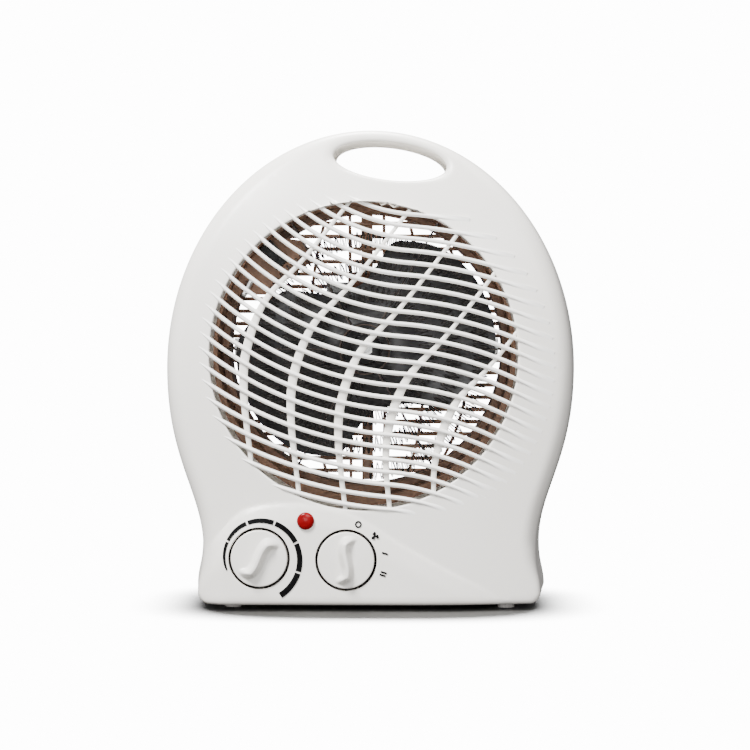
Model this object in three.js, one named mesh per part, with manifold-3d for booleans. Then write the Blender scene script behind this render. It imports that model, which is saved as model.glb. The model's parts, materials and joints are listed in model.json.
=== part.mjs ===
// Upright domestic fan heater: a rounded two-shell plastic casing with a handle slot, a
// swept-bar front grille, a mica-framed wire element, a two-blade fan on a shaded-pole
// motor, a thermostat knob, a selector knob and an indicator lens.
// Millimetres. +Z is up, the front faces -Y, and the origin is the middle of the footprint.
import * as THREE from 'three';
import { mergeVertices } from 'three/addons/utils/BufferGeometryUtils.js';
import Module from 'manifold-3d';

const wasm = await Module();
wasm.setup();

// ---- casing ----
const HALF_WIDTH = 113.3;
const TOP_Z = 260;
const DOME_Z = 128.5;
const BASE_HALF = 96.8;
const NECK_HALF = 93.9;
const NECK_Z = 32;
const BODY_BOTTOM = 3;
const BASE_CORNER = 3;
const FRONT = 55;
const BACK = 64;
const SPLIT_Y = 2;
const WALL = 2.5;
const GAP = 0.3;
const EDGE_ROUND = 12;
const BASE_ROUND = 4;
const SIDE_SAG = 10;
const SIDE_REACH = 105;
const LEAN_START = 90;
const LEAN_REACH = 162;
const FRONT_LEAN = 36;
const BACK_LEAN = 42;
const CURVE_POWER = 2.5;

// ---- front grille: 25 bars swept in two tangent arc families, and 5 ribs behind them ----
const GRILLE_X = -3;
const GRILLE_Z = 136;
const GRILLE_R = 82.5;
const BAR_COUNT = 25;
const BAR_PITCH = 6.57;
const BAR_WIDTH = 2.2;
const BAR_SUNK = 0.9;
const BAR_DEPTH = 4;
const RIB_PROUD = 0.5;
const BAR_PIECE = 34;
const UPPER_HUB = new THREE.Vector2(32.2, 160);
const LOWER_HUB = new THREE.Vector2(5.3, -176.5);
const MIDDLE_BAR_R = 163.8;
const RIB_COUNT = 5;
const RIB_STEP = new THREE.Vector2(25.3, -13.8);
const RIB_WIDTH = 4.6;
const RIB_SPINE = [[50, 64], [19.7, 25], [-1.6, 1.6], [-11.4, -24], [-13, -48], [-9, -86]];
const FUSE = 1.8;

// ---- handle slot: a tilted ellipse ----
const SLOT = { x: 11, z: 241, a: 31, b: 10.6, tilt: THREE.MathUtils.degToRad(-7) };

// ---- air path ----
const AXIS_X = -3;
const AXIS_Z = 138.5;
const REAR_R = 78.5;
const REAR_PITCH = 7.2;
const REAR_BAR = 1.8;
const REAR_BARS = 21;
const REAR_RIB = 6.5;
const ELEMENT = { front: -20, back: 8, outer: 81, skin: 0.8, core: 14 };
const BOARDS = 6;
const BOARD_THICK = 0.8;
const COIL = { start: -88, outer: 68, pitch: 15, turns: 3, band: 8, thick: 1.2 };
const NOTCH_PLAY = 1.2;
const COIL_FRONT_Y = -13;
const COIL_REAR_Y = 1;
const CUTOUT = { r: 72, angle: THREE.MathUtils.degToRad(134) };
const FUSE_LINK = { r: 73, angle: THREE.MathUtils.degToRad(152) };
const SHROUD = { inner: 76.5, outer: 78.3, front: 10, back: 34 };
const CUTOUT_BODY = { half: 7.2, front: -7, back: 0, halfHeight: 4.5 };
const CUTOUT_CAP = { r: 3.4, front: -9, back: -6.5 };
const FUSE_BODY = { r: 1.8, length: 9 };

// ---- fan and motor, along the fan axis ----
const BLADE_THICK = 1.2;
const BLADE_TWIST = 6.5;
const BLADE_Y = 19;
const BLADE_MIDDLE = THREE.MathUtils.degToRad(21);
const HUB_R = 9;
const SHAFT_R = 2;
const ROTOR_R = 12.1;
const HUB = { front: BLADE_Y - 6, back: BLADE_Y + 5 };
const NUT = { r: 4, front: BLADE_Y - 9.5, back: BLADE_Y - 6.3 };
const SHAFT = { front: 8, back: 55 };
const STATOR = { front: 33, back: 47, half: 23, foot: -18, head: 38, bore: 12.5 };
const WINDOW = { half: 11, foot: 16.3, head: 27 };
const WINDING = { half: 10.6, front: 30, back: 50, foot: 16.7, head: 43 };
const LIMB = { half: 12, front: 32.6, back: 47.4, foot: 26.6, head: 38.4 };
const PLATE = { half: 22, halfHeight: 6 };
const FRONT_PLATE = { front: 29.8, back: 32.6 };
const REAR_PLATE = { front: 47.4, back: 50.2 };
const BRACKET = { front: 27.6, back: 29.4, halfHeight: 6, hole: 4 };
const BOLT_X = 17;
const BOLT_HOLE_R = 1.8;
const MOTOR_BOLT = { r: 1.4, headR: 2.8, front: 27, back: 50.5, head: 2 };

// ---- controls ----
const PANEL_Y = -56.5;
const KNOB_R = 15.4;
const WELL_R = 16.4;
const WELL_FLOOR = -47;
const KNOB_FACE = -58;
const KNOB_TIP = -64;
const KNOB_BACK = -48.5;
const SPINDLE_R = 3;
const SPINDLE = { front: -53.5, back: -36 };
const KNOB_BORE_END = -54;
const GRIP_SPINE = [[-11.6, -3.6], [-7.5, -3.2], [-3, 0], [3, 0], [7.5, 3.2], [11.6, 3.6]];
const GRIP_FOOT = 2.6;
const GRIP_CREST = 1.5;
const THERMOSTAT = { x: -58.1, z: 28.1, pointer: THREE.MathUtils.degToRad(39) };
const SELECTOR = { x: -12, z: 27.2, pointer: THREE.MathUtils.degToRad(72) };
const LENS = { x: -33.4, z: 48.1, r: 4.7 };
const THERMOSTAT_CAN = { r: 12, front: -44, back: -24 };
const SWITCH_CAN = { r: 13, front: -44, back: -27 };
const TAB = { pitch: 8, half: 1.5, halfThick: 0.4, reach: 7 };
const LENS_STEM_R = 3.9;
const LENS_PROFILE = [
  [0, -58.6], [2.6, -58.3], [LENS.r, -57.3], [LENS.r, -56.8], [LENS_STEM_R, -56.8],
  [LENS_STEM_R, -45], [0, -45],
];
const LAMP = { r: 2.4, length: 6, y: -39 };

// ---- feet, screws and inlet ----
const FOOT = { x: 73.7, r: 4.5, front: -36, back: 44, thick: 2.7, pegR: 2.1, peg: 8 };
const SCREWS = [[-97, 170], [97, 170], [-82, 17], [82, 17]];
const SCREW = { r: 1.5, headR: 3, tip: -14, sunk: 14, head: 2.2 };
const GLAND = { x: 45, z: 22 };
const GLAND_PROFILE = [[3.7, 50], [5.4, 50], [5.4, 60.9], [8.4, 60.9], [8.4, 63.2], [3.7, 63.2], [3.7, 50]];
const TERMINALS = { left: 28, right: 62, front: 14, back: 26, foot: 8, head: 20 };
const SUPPLY_WIRE_R = 1.6;
const SUPPLY_ROUTE = [[45, 49.5, 22], [45, 42, 22], [45, 33, 15], [45, 27.4, 14]];
const CONTROL_WIRE_R = 1.3;
const SWITCH_ROUTE = [[27.2, 20, 14], [12, 20, 13], [-8, 4, 22], [-12, -18.4, 27]];
const THERMOSTAT_ROUTE = [[-20, -18.4, 27], [-28, -5, 24], [-48, -3, 24], [-58, -15.2, 28]];

const PLASTIC = { color: 0xe4e1db, roughness: 0.45, metalness: 0 };
const MICA = { color: 0x8a6244, roughness: 0.6, metalness: 0 };
const STEEL = { color: 0xa8aaad, roughness: 0.35, metalness: 0.9 };
const DARK = { color: 0x26252a, roughness: 0.4, metalness: 0.3 };
const BLACK = { color: 0x17161a, roughness: 0.5, metalness: 0 };
const RUBBER = { color: 0xcfcbc3, roughness: 0.8, metalness: 0 };
const COPPER = { color: 0xa5582a, roughness: 0.4, metalness: 0.7 };
const LAMINATION = { color: 0x6b6d70, roughness: 0.5, metalness: 0.8 };
const NICHROME = { color: 0x55504a, roughness: 0.5, metalness: 0.8 };
const RED = { color: 0xc21a20, roughness: 0.2, metalness: 0 };
const PHENOLIC = { color: 0x3a2a22, roughness: 0.5, metalness: 0 };
const GLASS = { color: 0xe8b9a0, roughness: 0.2, metalness: 0 };

const heater = new THREE.Group();

function add(name, geometry, finish, x = 0, y = 0, z = 0) {
  const mesh = new THREE.Mesh(geometry, new THREE.MeshStandardMaterial(finish));
  mesh.name = name;
  mesh.position.set(x, y, z);
  heater.add(mesh);
  return mesh;
}

// ---- joining and cutting ----

function solid(geometry) {
  const bare = geometry.clone();
  bare.deleteAttribute('normal');
  bare.deleteAttribute('uv');
  const merged = mergeVertices(bare, 1e-4);
  return new wasm.Manifold(new wasm.Mesh({
    numProp: 3,
    vertProperties: new Float32Array(merged.attributes.position.array),
    triVerts: new Uint32Array(merged.index.array),
  }));
}

function geometryOf(body) {
  const mesh = body.getMesh();
  const geometry = new THREE.BufferGeometry();
  geometry.setAttribute('position', new THREE.BufferAttribute(new Float32Array(mesh.vertProperties), 3));
  geometry.setIndex(new THREE.BufferAttribute(new Uint32Array(mesh.triVerts), 1));
  return geometry;
}

function cut(geometry, ...tools) {
  return geometryOf(tools.reduce((body, tool) => body.subtract(solid(tool)), solid(geometry)));
}

function join(geometry, ...others) {
  return geometryOf(others.reduce((body, other) => body.add(solid(other)), solid(geometry)));
}

// ---- basic shapes, placed in the heater's own frame ----

function box(x0, x1, y0, y1, z0, z1) {
  const geometry = new THREE.BoxGeometry(x1 - x0, y1 - y0, z1 - z0);
  return geometry.translate((x0 + x1) / 2, (y0 + y1) / 2, (z0 + z1) / 2);
}

// A rod along Y between two depths.
function rod(radius, y0, y1, x = 0, z = 0, sides = 24) {
  return new THREE.CylinderGeometry(radius, radius, y1 - y0, sides).translate(x, (y0 + y1) / 2, z);
}

// A tube along Y: its section turned about the axis.
function tube(inner, outer, y0, y1, x = 0, z = 0, sides = 40) {
  const section = [[inner, y0], [outer, y0], [outer, y1], [inner, y1], [inner, y0]];
  return new THREE.LatheGeometry(section.map(([r, y]) => new THREE.Vector2(r, y)), sides).translate(x, 0, z);
}

// A shape drawn in X and Z, made solid between two depths.
function prism(shape, y0, y1, curveSegments = 12) {
  const geometry = new THREE.ExtrudeGeometry(shape, { depth: y1 - y0, bevelEnabled: false, curveSegments });
  return geometry.rotateX(Math.PI / 2).translate(0, y1, 0);
}

// A closed body through rings of equal point count, with a fan over each end.
function loft(rings) {
  const count = rings[0].length;
  const points = rings.flat();
  const index = [];
  for (let r = 0; r + 1 < rings.length; r += 1) {
    for (let i = 0; i < count; i += 1) {
      const a = r * count + i;
      const b = r * count + ((i + 1) % count);
      index.push(a, b, b + count, a, b + count, a + count);
    }
  }
  [0, rings.length - 1].forEach((r, end) => {
    const ring = rings[r];
    const middle = [0, 1, 2].map((k) => ring.reduce((sum, p) => sum + p[k], 0) / count);
    points.push(middle);
    for (let i = 0; i < count; i += 1) {
      const edge = [r * count + i, r * count + ((i + 1) % count)];
      index.push(points.length - 1, edge[1 - end], edge[end]);
    }
  });
  return facingOut(points, index);
}

function facingOut(points, index) {
  let volume = 0;
  for (let i = 0; i < index.length; i += 3) {
    const [a, b, c] = [0, 1, 2].map((k) => new THREE.Vector3(...points[index[i + k]]));
    volume += a.dot(b.cross(c));
  }
  const geometry = new THREE.BufferGeometry();
  geometry.setAttribute('position', new THREE.Float32BufferAttribute(points.flat(), 3));
  geometry.setIndex(volume > 0 ? index : index.reverse());
  return geometry;
}

// ---- casing outline and surfaces ----

function casingOutline() {
  const shape = new THREE.Shape();
  const cornerZ = BODY_BOTTOM + BASE_CORNER;
  const flare = 12;
  const neckPull = 28;
  const domePull = 50.8;
  const bottomSteps = 8;
  const flat = BASE_HALF - BASE_CORNER;
  shape.moveTo(-flat, BODY_BOTTOM);
  for (let i = 1; i <= bottomSteps; i += 1) {
    shape.lineTo(-flat + (2 * flat * i) / bottomSteps, BODY_BOTTOM);
  }
  shape.quadraticCurveTo(BASE_HALF, BODY_BOTTOM, BASE_HALF, cornerZ);
  shape.bezierCurveTo(BASE_HALF - 0.5, cornerZ + flare, NECK_HALF, NECK_Z - flare, NECK_HALF, NECK_Z);
  shape.bezierCurveTo(NECK_HALF, NECK_Z + neckPull, HALF_WIDTH, DOME_Z - domePull, HALF_WIDTH, DOME_Z);
  shape.absellipse(0, DOME_Z, HALF_WIDTH, TOP_Z - DOME_Z, 0, Math.PI, false);
  shape.bezierCurveTo(-HALF_WIDTH, DOME_Z - domePull, -NECK_HALF, NECK_Z + neckPull, -NECK_HALF, NECK_Z);
  shape.bezierCurveTo(-NECK_HALF, NECK_Z - flare, 0.5 - BASE_HALF, cornerZ + flare, -BASE_HALF, cornerZ);
  shape.quadraticCurveTo(-BASE_HALF, BODY_BOTTOM, -flat, BODY_BOTTOM);
  const points = shape.getPoints(6).map((p) => [p.x, p.y]);
  points.pop();
  const step = (i) => Math.hypot(points[i][0] - points[i - 1][0], points[i][1] - points[i - 1][1]);
  return points.filter((_, i) => i === 0 || step(i) > 0.8);
}

function insetOutline(outline, inset) {
  return outline.map((p, i) => {
    const before = outline[(i + outline.length - 1) % outline.length];
    const after = outline[(i + 1) % outline.length];
    const along = new THREE.Vector2(after[0] - before[0], after[1] - before[1]).normalize();
    return [p[0] - along.y * inset, p[1] + along.x * inset];
  });
}

function sag(x, z, lean) {
  const side = SIDE_SAG * (Math.abs(x) / SIDE_REACH) ** CURVE_POWER;
  const top = lean * (Math.max(0, z - LEAN_START) / LEAN_REACH) ** CURVE_POWER;
  return side + top;
}

function frontY(x, z) {
  return -(FRONT - sag(x, z, FRONT_LEAN));
}

function backY(x, z) {
  return BACK - sag(x, z, BACK_LEAN);
}

// Half of the casing as one filled body. Its edge is rounded, less so along the base.
function casingHalf(surface, direction, inset, splitY) {
  const outline = insetOutline(casingOutline(), inset);
  const centre = [0, DOME_Z];
  const roundSteps = inset ? [0, 0.4, 1] : [0, 0.12, 0.4, 1];
  const facePortions = inset ? [0.62, 0.25] : [0.68, 0.35];
  const roundAt = (z) => {
    const blend = THREE.MathUtils.smoothstep(z, BODY_BOTTOM, NECK_Z + BASE_ROUND);
    return THREE.MathUtils.lerp(BASE_ROUND, EDGE_ROUND, blend) - inset;
  };
  const ringAt = (place) => outline.map(([x, z]) => {
    const reach = Math.hypot(x - centre[0], z - centre[1]);
    return place(x, z, reach, roundAt(z));
  });
  const pull = (x, z, portion) => [
    centre[0] + (x - centre[0]) * portion,
    centre[1] + (z - centre[1]) * portion,
  ];
  const rings = [ringAt((x, z) => [x, splitY, z])];
  roundSteps.forEach((step) => rings.push(ringAt((x, z, reach, round) => {
    const [px, pz] = pull(x, z, 1 - (step * round) / reach);
    const drop = round * (1 - Math.sqrt(1 - (1 - step) ** 2));
    return [px, surface(px, pz) - direction * (drop + inset), pz];
  })));
  facePortions.forEach((portion) => rings.push(ringAt((x, z, reach, round) => {
    const [px, pz] = pull(x, z, portion * (1 - round / reach));
    return [px, surface(px, pz) - direction * inset, pz];
  })));
  return loft(rings);
}

function slotOutline(grow) {
  const shape = new THREE.Shape();
  shape.absellipse(SLOT.x, SLOT.z, SLOT.a + grow, SLOT.b + grow, 0, 2 * Math.PI, false, SLOT.tilt);
  return shape;
}

// ---- front grille ----

// Points of one bar, in the grille's own plane. It bends round the upper hub, then round the
// lower hub, and the two arcs meet on the line between the hubs.
function barPath(order, reach, step) {
  const between = LOWER_HUB.clone().sub(UPPER_HUB);
  const upperR = MIDDLE_BAR_R + order * BAR_PITCH;
  const lowerR = between.length() - upperR;
  const down = between.angle();
  const pointAt = (run) => {
    const hub = run < 0 ? UPPER_HUB : LOWER_HUB;
    const angle = run < 0 ? down + run / upperR : down + Math.PI - run / lowerR;
    const radius = run < 0 ? upperR : lowerR;
    return new THREE.Vector2(hub.x + radius * Math.cos(angle), hub.y + radius * Math.sin(angle));
  };
  const runs = [];
  for (let run = -2.2 * GRILLE_R; run <= 2.2 * GRILLE_R; run += 0.5) {
    if (pointAt(run).length() < reach) runs.push(run);
  }
  const [first, last] = [runs[0], runs[runs.length - 1]];
  const pieces = Math.max(2, Math.round((last - first) / step));
  return Array.from({ length: pieces + 1 }, (_, i) => pointAt(first + ((last - first) * i) / pieces));
}

function ribPath(order, reach) {
  const spine = new THREE.SplineCurve(RIB_SPINE.map(([x, z]) => new THREE.Vector2(x, z)));
  const shifted = spine.getPoints(60).map((p) => p.addScaledVector(RIB_STEP, order));
  const inside = shifted.filter((p) => p.length() < reach);
  const pieces = 6;
  const last = inside.length - 1;
  return Array.from({ length: pieces + 1 }, (_, i) => inside[Math.round((i * last) / pieces)]);
}

// A strip of rectangular section that follows the front surface.
function surfaceStrip(path, width, behind, depth) {
  return loft(path.map((p, i) => {
    const before = path[Math.max(0, i - 1)];
    const after = path[Math.min(path.length - 1, i + 1)];
    const along = after.clone().sub(before).normalize();
    const x = GRILLE_X + p.x;
    const z = GRILLE_Z + p.y;
    const side = [(-along.y * width) / 2, (along.x * width) / 2];
    const front = frontY(x, z) + behind;
    return [
      [x - side[0], front, z - side[1]],
      [x + side[0], front, z + side[1]],
      [x + side[0], front + depth, z + side[1]],
      [x - side[0], front + depth, z - side[1]],
    ];
  }));
}

function grilleStrips() {
  const strips = [];
  const middleBar = (BAR_COUNT - 1) / 2;
  for (let i = 0; i < BAR_COUNT; i += 1) {
    const path = barPath(i - middleBar, GRILLE_R + FUSE, BAR_PIECE);
    strips.push(surfaceStrip(path, BAR_WIDTH, BAR_SUNK, BAR_DEPTH));
  }
  const middleRib = (RIB_COUNT - 1) / 2;
  for (let i = 0; i < RIB_COUNT; i += 1) {
    const path = ribPath(i - middleRib, GRILLE_R + FUSE);
    strips.push(surfaceStrip(path, RIB_WIDTH, BAR_SUNK - RIB_PROUD, BAR_DEPTH + 2 * RIB_PROUD));
  }
  return strips;
}

// ---- shells ----

function panelShape() {
  const shape = new THREE.Shape();
  shape.moveTo(-70, 7);
  shape.lineTo(6, 7);
  shape.quadraticCurveTo(16, 8, 14, 24);
  shape.quadraticCurveTo(10, 42, -11, 51);
  shape.quadraticCurveTo(-40, 60, -62, 53);
  shape.quadraticCurveTo(-80, 45, -79, 22);
  shape.quadraticCurveTo(-78, 9, -70, 7);
  return shape;
}

function feetHoles(y) {
  return [-FOOT.x, FOOT.x].map((x) => new THREE.CylinderGeometry(2.4, 2.4, 12, 12)
    .rotateX(Math.PI / 2)
    .translate(x, y, BODY_BOTTOM));
}

function frontShell() {
  const outer = solid(casingHalf(frontY, -1, 0, SPLIT_Y));
  const filling = solid(casingHalf(frontY, -1, WALL / 2, SPLIT_Y));
  let shell = outer.subtract(solid(casingHalf(frontY, -1, WALL, SPLIT_Y + 1)));
  const inside = [
    prism(slotOutline(2), -FRONT, SPLIT_Y, 8),
    tube(GRILLE_R - 1, GRILLE_R + 2, -FRONT, -24, GRILLE_X, GRILLE_Z, 40),
    ...SCREWS.map(([x, z]) => rod(4.2, -FRONT, SPLIT_Y, x, z, 12)),
  ];
  inside.forEach((piece) => {
    shell = shell.add(solid(piece).intersect(filling));
  });
  shell = shell.add(solid(prism(panelShape(), PANEL_Y, frontY(-78, 22) + WALL, 5)));
  const knobs = [THERMOSTAT, SELECTOR];
  knobs.forEach(({ x, z }) => {
    shell = shell.add(solid(rod(WELL_R + 1.8, PANEL_Y + 1, WELL_FLOOR + 2, x, z, 36)));
  });
  const holes = [
    rod(GRILLE_R, -FRONT - 9, 0, GRILLE_X, GRILLE_Z, 40),
    prism(slotOutline(0), -FRONT, SPLIT_Y + 1, 8),
    ...knobs.map(({ x, z }) => rod(WELL_R, PANEL_Y - 1, WELL_FLOOR, x, z, 36)),
    ...knobs.map(({ x, z }) => rod(SPINDLE_R + 1, WELL_FLOOR - 1, WELL_FLOOR + 4, x, z)),
    rod(LENS.r - 0.5, PANEL_Y - 1, PANEL_Y + 14, LENS.x, LENS.z),
    ...SCREWS.map(([x, z]) => rod(1.8, -18, SPLIT_Y + 1, x, z, 10)),
    ...feetHoles(FOOT.front),
  ];
  holes.forEach((hole) => {
    shell = shell.subtract(solid(hole));
  });
  grilleStrips().forEach((strip) => {
    shell = shell.add(solid(strip));
  });
  return geometryOf(shell);
}

// The rear grille lies in the rear wall's own thickness.
function rearGrille(wall) {
  const lattice = [];
  for (let i = 0; i < REAR_BARS; i += 1) {
    const z = AXIS_Z + (i - (REAR_BARS - 1) / 2) * REAR_PITCH;
    const half = Math.sqrt((REAR_R + FUSE) ** 2 - (z - AXIS_Z) ** 2);
    lattice.push(rearStrip([[AXIS_X - half, z], [AXIS_X + half, z]], 4, REAR_BAR));
  }
  const reach = REAR_R + FUSE;
  lattice.push(rearStrip([[AXIS_X, AXIS_Z - reach], [AXIS_X, AXIS_Z + reach]], 6, REAR_RIB));
  return lattice.reduce((body, strip) => body.add(solid(strip)), wall);
}

function rearStrip([from, to], pieces, width) {
  const across = from[0] === to[0] ? [width / 2, 0] : [0, width / 2];
  const rings = [];
  for (let i = 0; i <= pieces; i += 1) {
    const x = from[0] + ((to[0] - from[0]) * i) / pieces;
    const z = from[1] + ((to[1] - from[1]) * i) / pieces;
    const y = backY(x, z) - GAP;
    rings.push([
      [x - across[0], y, z - across[1]],
      [x + across[0], y, z + across[1]],
      [x + across[0], y - WALL, z + across[1]],
      [x - across[0], y - WALL, z - across[1]],
    ]);
  }
  return loft(rings);
}

function rearShell() {
  const start = SPLIT_Y + GAP;
  const outer = solid(casingHalf(backY, 1, 0, start));
  const filling = solid(casingHalf(backY, 1, WALL / 2, start));
  let shell = outer.subtract(solid(casingHalf(backY, 1, WALL, start - 1)));
  const inside = [
    prism(slotOutline(2), start, BACK, 8),
    ...SCREWS.map(([x, z]) => rod(4.6, start, BACK, x, z, 12)),
  ];
  inside.forEach((piece) => {
    shell = shell.add(solid(piece).intersect(filling));
  });
  const holes = [
    rod(REAR_R, SPLIT_Y + 30, BACK + 9, AXIS_X, AXIS_Z, 40),
    prism(slotOutline(0), SPLIT_Y - 1, BACK + 1, 8),
    ...SCREWS.map(([x, z]) => rod(1.8, SPLIT_Y - 1, BACK, x, z, 10)),
    ...SCREWS.map(([x, z]) => rod(3.4, backY(x, z) - 14, BACK + 1, x, z, 12)),
    rod(5.8, BACK - 8, BACK + 1, GLAND.x, GLAND.z),
    rod(8.8, BACK - 3.4, BACK + 1, GLAND.x, GLAND.z),
    ...feetHoles(FOOT.back),
  ];
  holes.forEach((hole) => {
    shell = shell.subtract(solid(hole));
  });
  return geometryOf(rearGrille(shell));
}

// ---- heating element ----

function coilRadius(angle, turn) {
  const start = THREE.MathUtils.degToRad(COIL.start);
  const swept = THREE.MathUtils.euclideanModulo(angle - start, 2 * Math.PI) / (2 * Math.PI) + turn;
  return COIL.outer - COIL.pitch * swept;
}

// One heating wire: the flat spiral band that its zig-zag fills.
function heatingCoil(y) {
  const steps = 18 * COIL.turns;
  const start = THREE.MathUtils.degToRad(COIL.start);
  const rings = [];
  for (let i = 0; i <= steps; i += 1) {
    const turns = (i / steps) * COIL.turns;
    const angle = start + turns * 2 * Math.PI;
    const middle = COIL.outer - COIL.pitch * turns;
    const corner = (r, depth) => [AXIS_X + r * Math.cos(angle), y + depth, AXIS_Z + r * Math.sin(angle)];
    const [inner, outer] = [middle - COIL.band / 2, middle + COIL.band / 2];
    const half = COIL.thick / 2;
    rings.push([corner(inner, -half), corner(outer, -half), corner(outer, half), corner(inner, half)]);
  }
  return loft(rings);
}

// A radial mica board, drawn flat with its length along X and its depth along Y, notched
// from the front for one wire and from the back for the other.
function micaBoard(angle) {
  const inner = ELEMENT.core + GAP;
  const outer = ELEMENT.outer - ELEMENT.skin - GAP;
  const notches = [];
  for (let turn = COIL.turns - 1; turn >= 0; turn -= 1) {
    const middle = coilRadius(angle, turn);
    const half = COIL.band / 2 + NOTCH_PLAY;
    notches.push([middle - half, middle + half]);
  }
  const { front, back } = { front: ELEMENT.front + 1, back: ELEMENT.back - 1 };
  const shape = new THREE.Shape();
  shape.moveTo(inner, front);
  notches.forEach(([from, to]) => {
    shape.lineTo(from, front);
    shape.lineTo(from, COIL_FRONT_Y + 1);
    shape.lineTo(to, COIL_FRONT_Y + 1);
    shape.lineTo(to, front);
  });
  shape.lineTo(outer, front);
  shape.lineTo(outer, back);
  notches.reverse().forEach(([from, to]) => {
    shape.lineTo(to, back);
    shape.lineTo(to, COIL_REAR_Y - 1);
    shape.lineTo(from, COIL_REAR_Y - 1);
    shape.lineTo(from, back);
  });
  shape.lineTo(inner, back);
  const board = new THREE.ExtrudeGeometry(shape, { depth: BOARD_THICK, bevelEnabled: false });
  return board.translate(0, 0, -BOARD_THICK / 2).rotateY(-angle);
}

function thermalCutout() {
  const { half, front, back, halfHeight } = CUTOUT_BODY;
  const body = box(-half, half, front, back, -halfHeight, halfHeight);
  const cap = rod(CUTOUT_CAP.r, CUTOUT_CAP.front, CUTOUT_CAP.back, 0, 0, 16);
  return join(body, cap);
}

// ---- fan and motor ----

// The fan's edge, as a radius at each angle; both blades are the same.
function bladeRadius(angle) {
  const edge = [
    [-104, 62], [-98, 49], [-89, 38.2], [-74, 35], [-55, 38], [-45, 45], [-36, 56], [-25, 61],
    [-12, 67.5], [-4, 72], [4, 73.6], [37, 73.6], [54, 71], [68, 66], [76, 62],
  ];
  const degrees = THREE.MathUtils.radToDeg(angle);
  const within = THREE.MathUtils.euclideanModulo(degrees + 104, 180) - 104;
  const next = Math.max(1, edge.findIndex(([a]) => a >= within));
  const [[a0, r0], [a1, r1]] = [edge[next - 1], edge[next]];
  return THREE.MathUtils.mapLinear(within, a0, a1, r0, r1);
}

function fanDepth(angle, radius) {
  return BLADE_Y + BLADE_TWIST * Math.sin(2 * (angle - BLADE_MIDDLE)) * (radius / 60);
}

function fan() {
  const around = 44;
  const radial = 3;
  const innerR = HUB_R - 3;
  const section = (i) => {
    const angle = (i / around) * 2 * Math.PI;
    const edge = bladeRadius(angle);
    const at = (j, thick) => {
      const r = innerR + ((edge - innerR) * j) / radial;
      return [r * Math.cos(angle), fanDepth(angle, r) + thick, r * Math.sin(angle)];
    };
    const front = Array.from({ length: radial + 1 }, (_, j) => at(j, -BLADE_THICK / 2));
    const back = Array.from({ length: radial + 1 }, (_, j) => at(radial - j, BLADE_THICK / 2));
    return [...front, ...back];
  };
  const sections = Array.from({ length: around }, (_, i) => section(i));
  const blades = closedLoft(sections);
  const hub = tube(SHAFT_R + GAP, HUB_R, HUB.front, HUB.back, 0, 0, 24);
  return join(hub, blades);
}

// A loft whose last section meets its first.
function closedLoft(sections) {
  const count = sections[0].length;
  const index = [];
  sections.forEach((_, s) => {
    const next = (s + 1) % sections.length;
    for (let i = 0; i < count; i += 1) {
      const j = (i + 1) % count;
      const corners = [s * count + i, s * count + j, next * count + j, next * count + i];
      index.push(corners[0], corners[1], corners[2], corners[0], corners[2], corners[3]);
    }
  });
  return facingOut(sections.flat(), index);
}

function stator() {
  const shape = new THREE.Shape();
  shape.moveTo(-STATOR.half, STATOR.foot);
  shape.lineTo(STATOR.half, STATOR.foot);
  shape.lineTo(STATOR.half, STATOR.head);
  shape.lineTo(-STATOR.half, STATOR.head);
  const window = new THREE.Path();
  window.moveTo(-WINDOW.half, WINDOW.foot);
  window.lineTo(-WINDOW.half, WINDOW.head);
  window.lineTo(WINDOW.half, WINDOW.head);
  window.lineTo(WINDOW.half, WINDOW.foot);
  const bore = new THREE.Path();
  bore.absarc(0, 0, STATOR.bore, 0, 2 * Math.PI, true);
  shape.holes.push(window, bore);
  [-BOLT_X, BOLT_X].forEach((x) => {
    const hole = new THREE.Path();
    hole.absarc(x, 0, BOLT_HOLE_R, 0, 2 * Math.PI, true);
    shape.holes.push(hole);
  });
  return prism(shape, STATOR.front, STATOR.back, 10);
}

function bearingPlate({ front, back }) {
  const plate = box(-PLATE.half, PLATE.half, front, back, -PLATE.halfHeight, PLATE.halfHeight);
  return cut(plate, rod(SHAFT_R + GAP, front - 1, back + 1, 0, 0, 16), ...boltHoles(front, back));
}

function boltHoles(y0, y1) {
  return [-BOLT_X, BOLT_X].map((x) => rod(BOLT_HOLE_R, y0 - 1, y1 + 1, x, 0, 10));
}

function motorBracket() {
  const { front, back, halfHeight, hole } = BRACKET;
  const reach = SHROUD.inner - 1.2;
  const strap = box(-reach, reach, front, back, -halfHeight, halfHeight);
  return cut(strap, rod(hole, front - 1, back + 1, 0, 0, 16), ...boltHoles(front, back));
}

function headedPin(radius, headR, y0, y1, headLength, sides = 10) {
  return join(rod(radius, y0, y1, 0, 0, sides), rod(headR, y1 - 0.01, y1 + headLength, 0, 0, sides));
}

// ---- controls ----

// A disc with an S-shaped grip that points along +X before it is turned.
function knob(pointer) {
  const curve = new THREE.SplineCurve(GRIP_SPINE.map(([x, z]) => new THREE.Vector2(x, z)));
  const path = curve.getPoints(8);
  const grip = loft(path.map((p, i) => {
    const before = path[Math.max(0, i - 1)];
    const along = path[Math.min(path.length - 1, i + 1)].clone().sub(before).normalize();
    const side = [-along.y, along.x];
    const corner = (offset, y) => [p.x + side[0] * offset, y, p.y + side[1] * offset];
    return [
      corner(-GRIP_FOOT, KNOB_FACE + 0.5),
      corner(GRIP_FOOT, KNOB_FACE + 0.5),
      corner(GRIP_CREST, KNOB_TIP),
      corner(-GRIP_CREST, KNOB_TIP),
    ];
  }));
  const cap = rod(KNOB_R, KNOB_FACE, KNOB_BACK, 0, 0, 36);
  const bore = rod(SPINDLE_R + GAP, KNOB_BORE_END, KNOB_BACK + 1, 0, 0, 20);
  return cut(join(cap, grip), bore).rotateY(-pointer);
}

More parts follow.
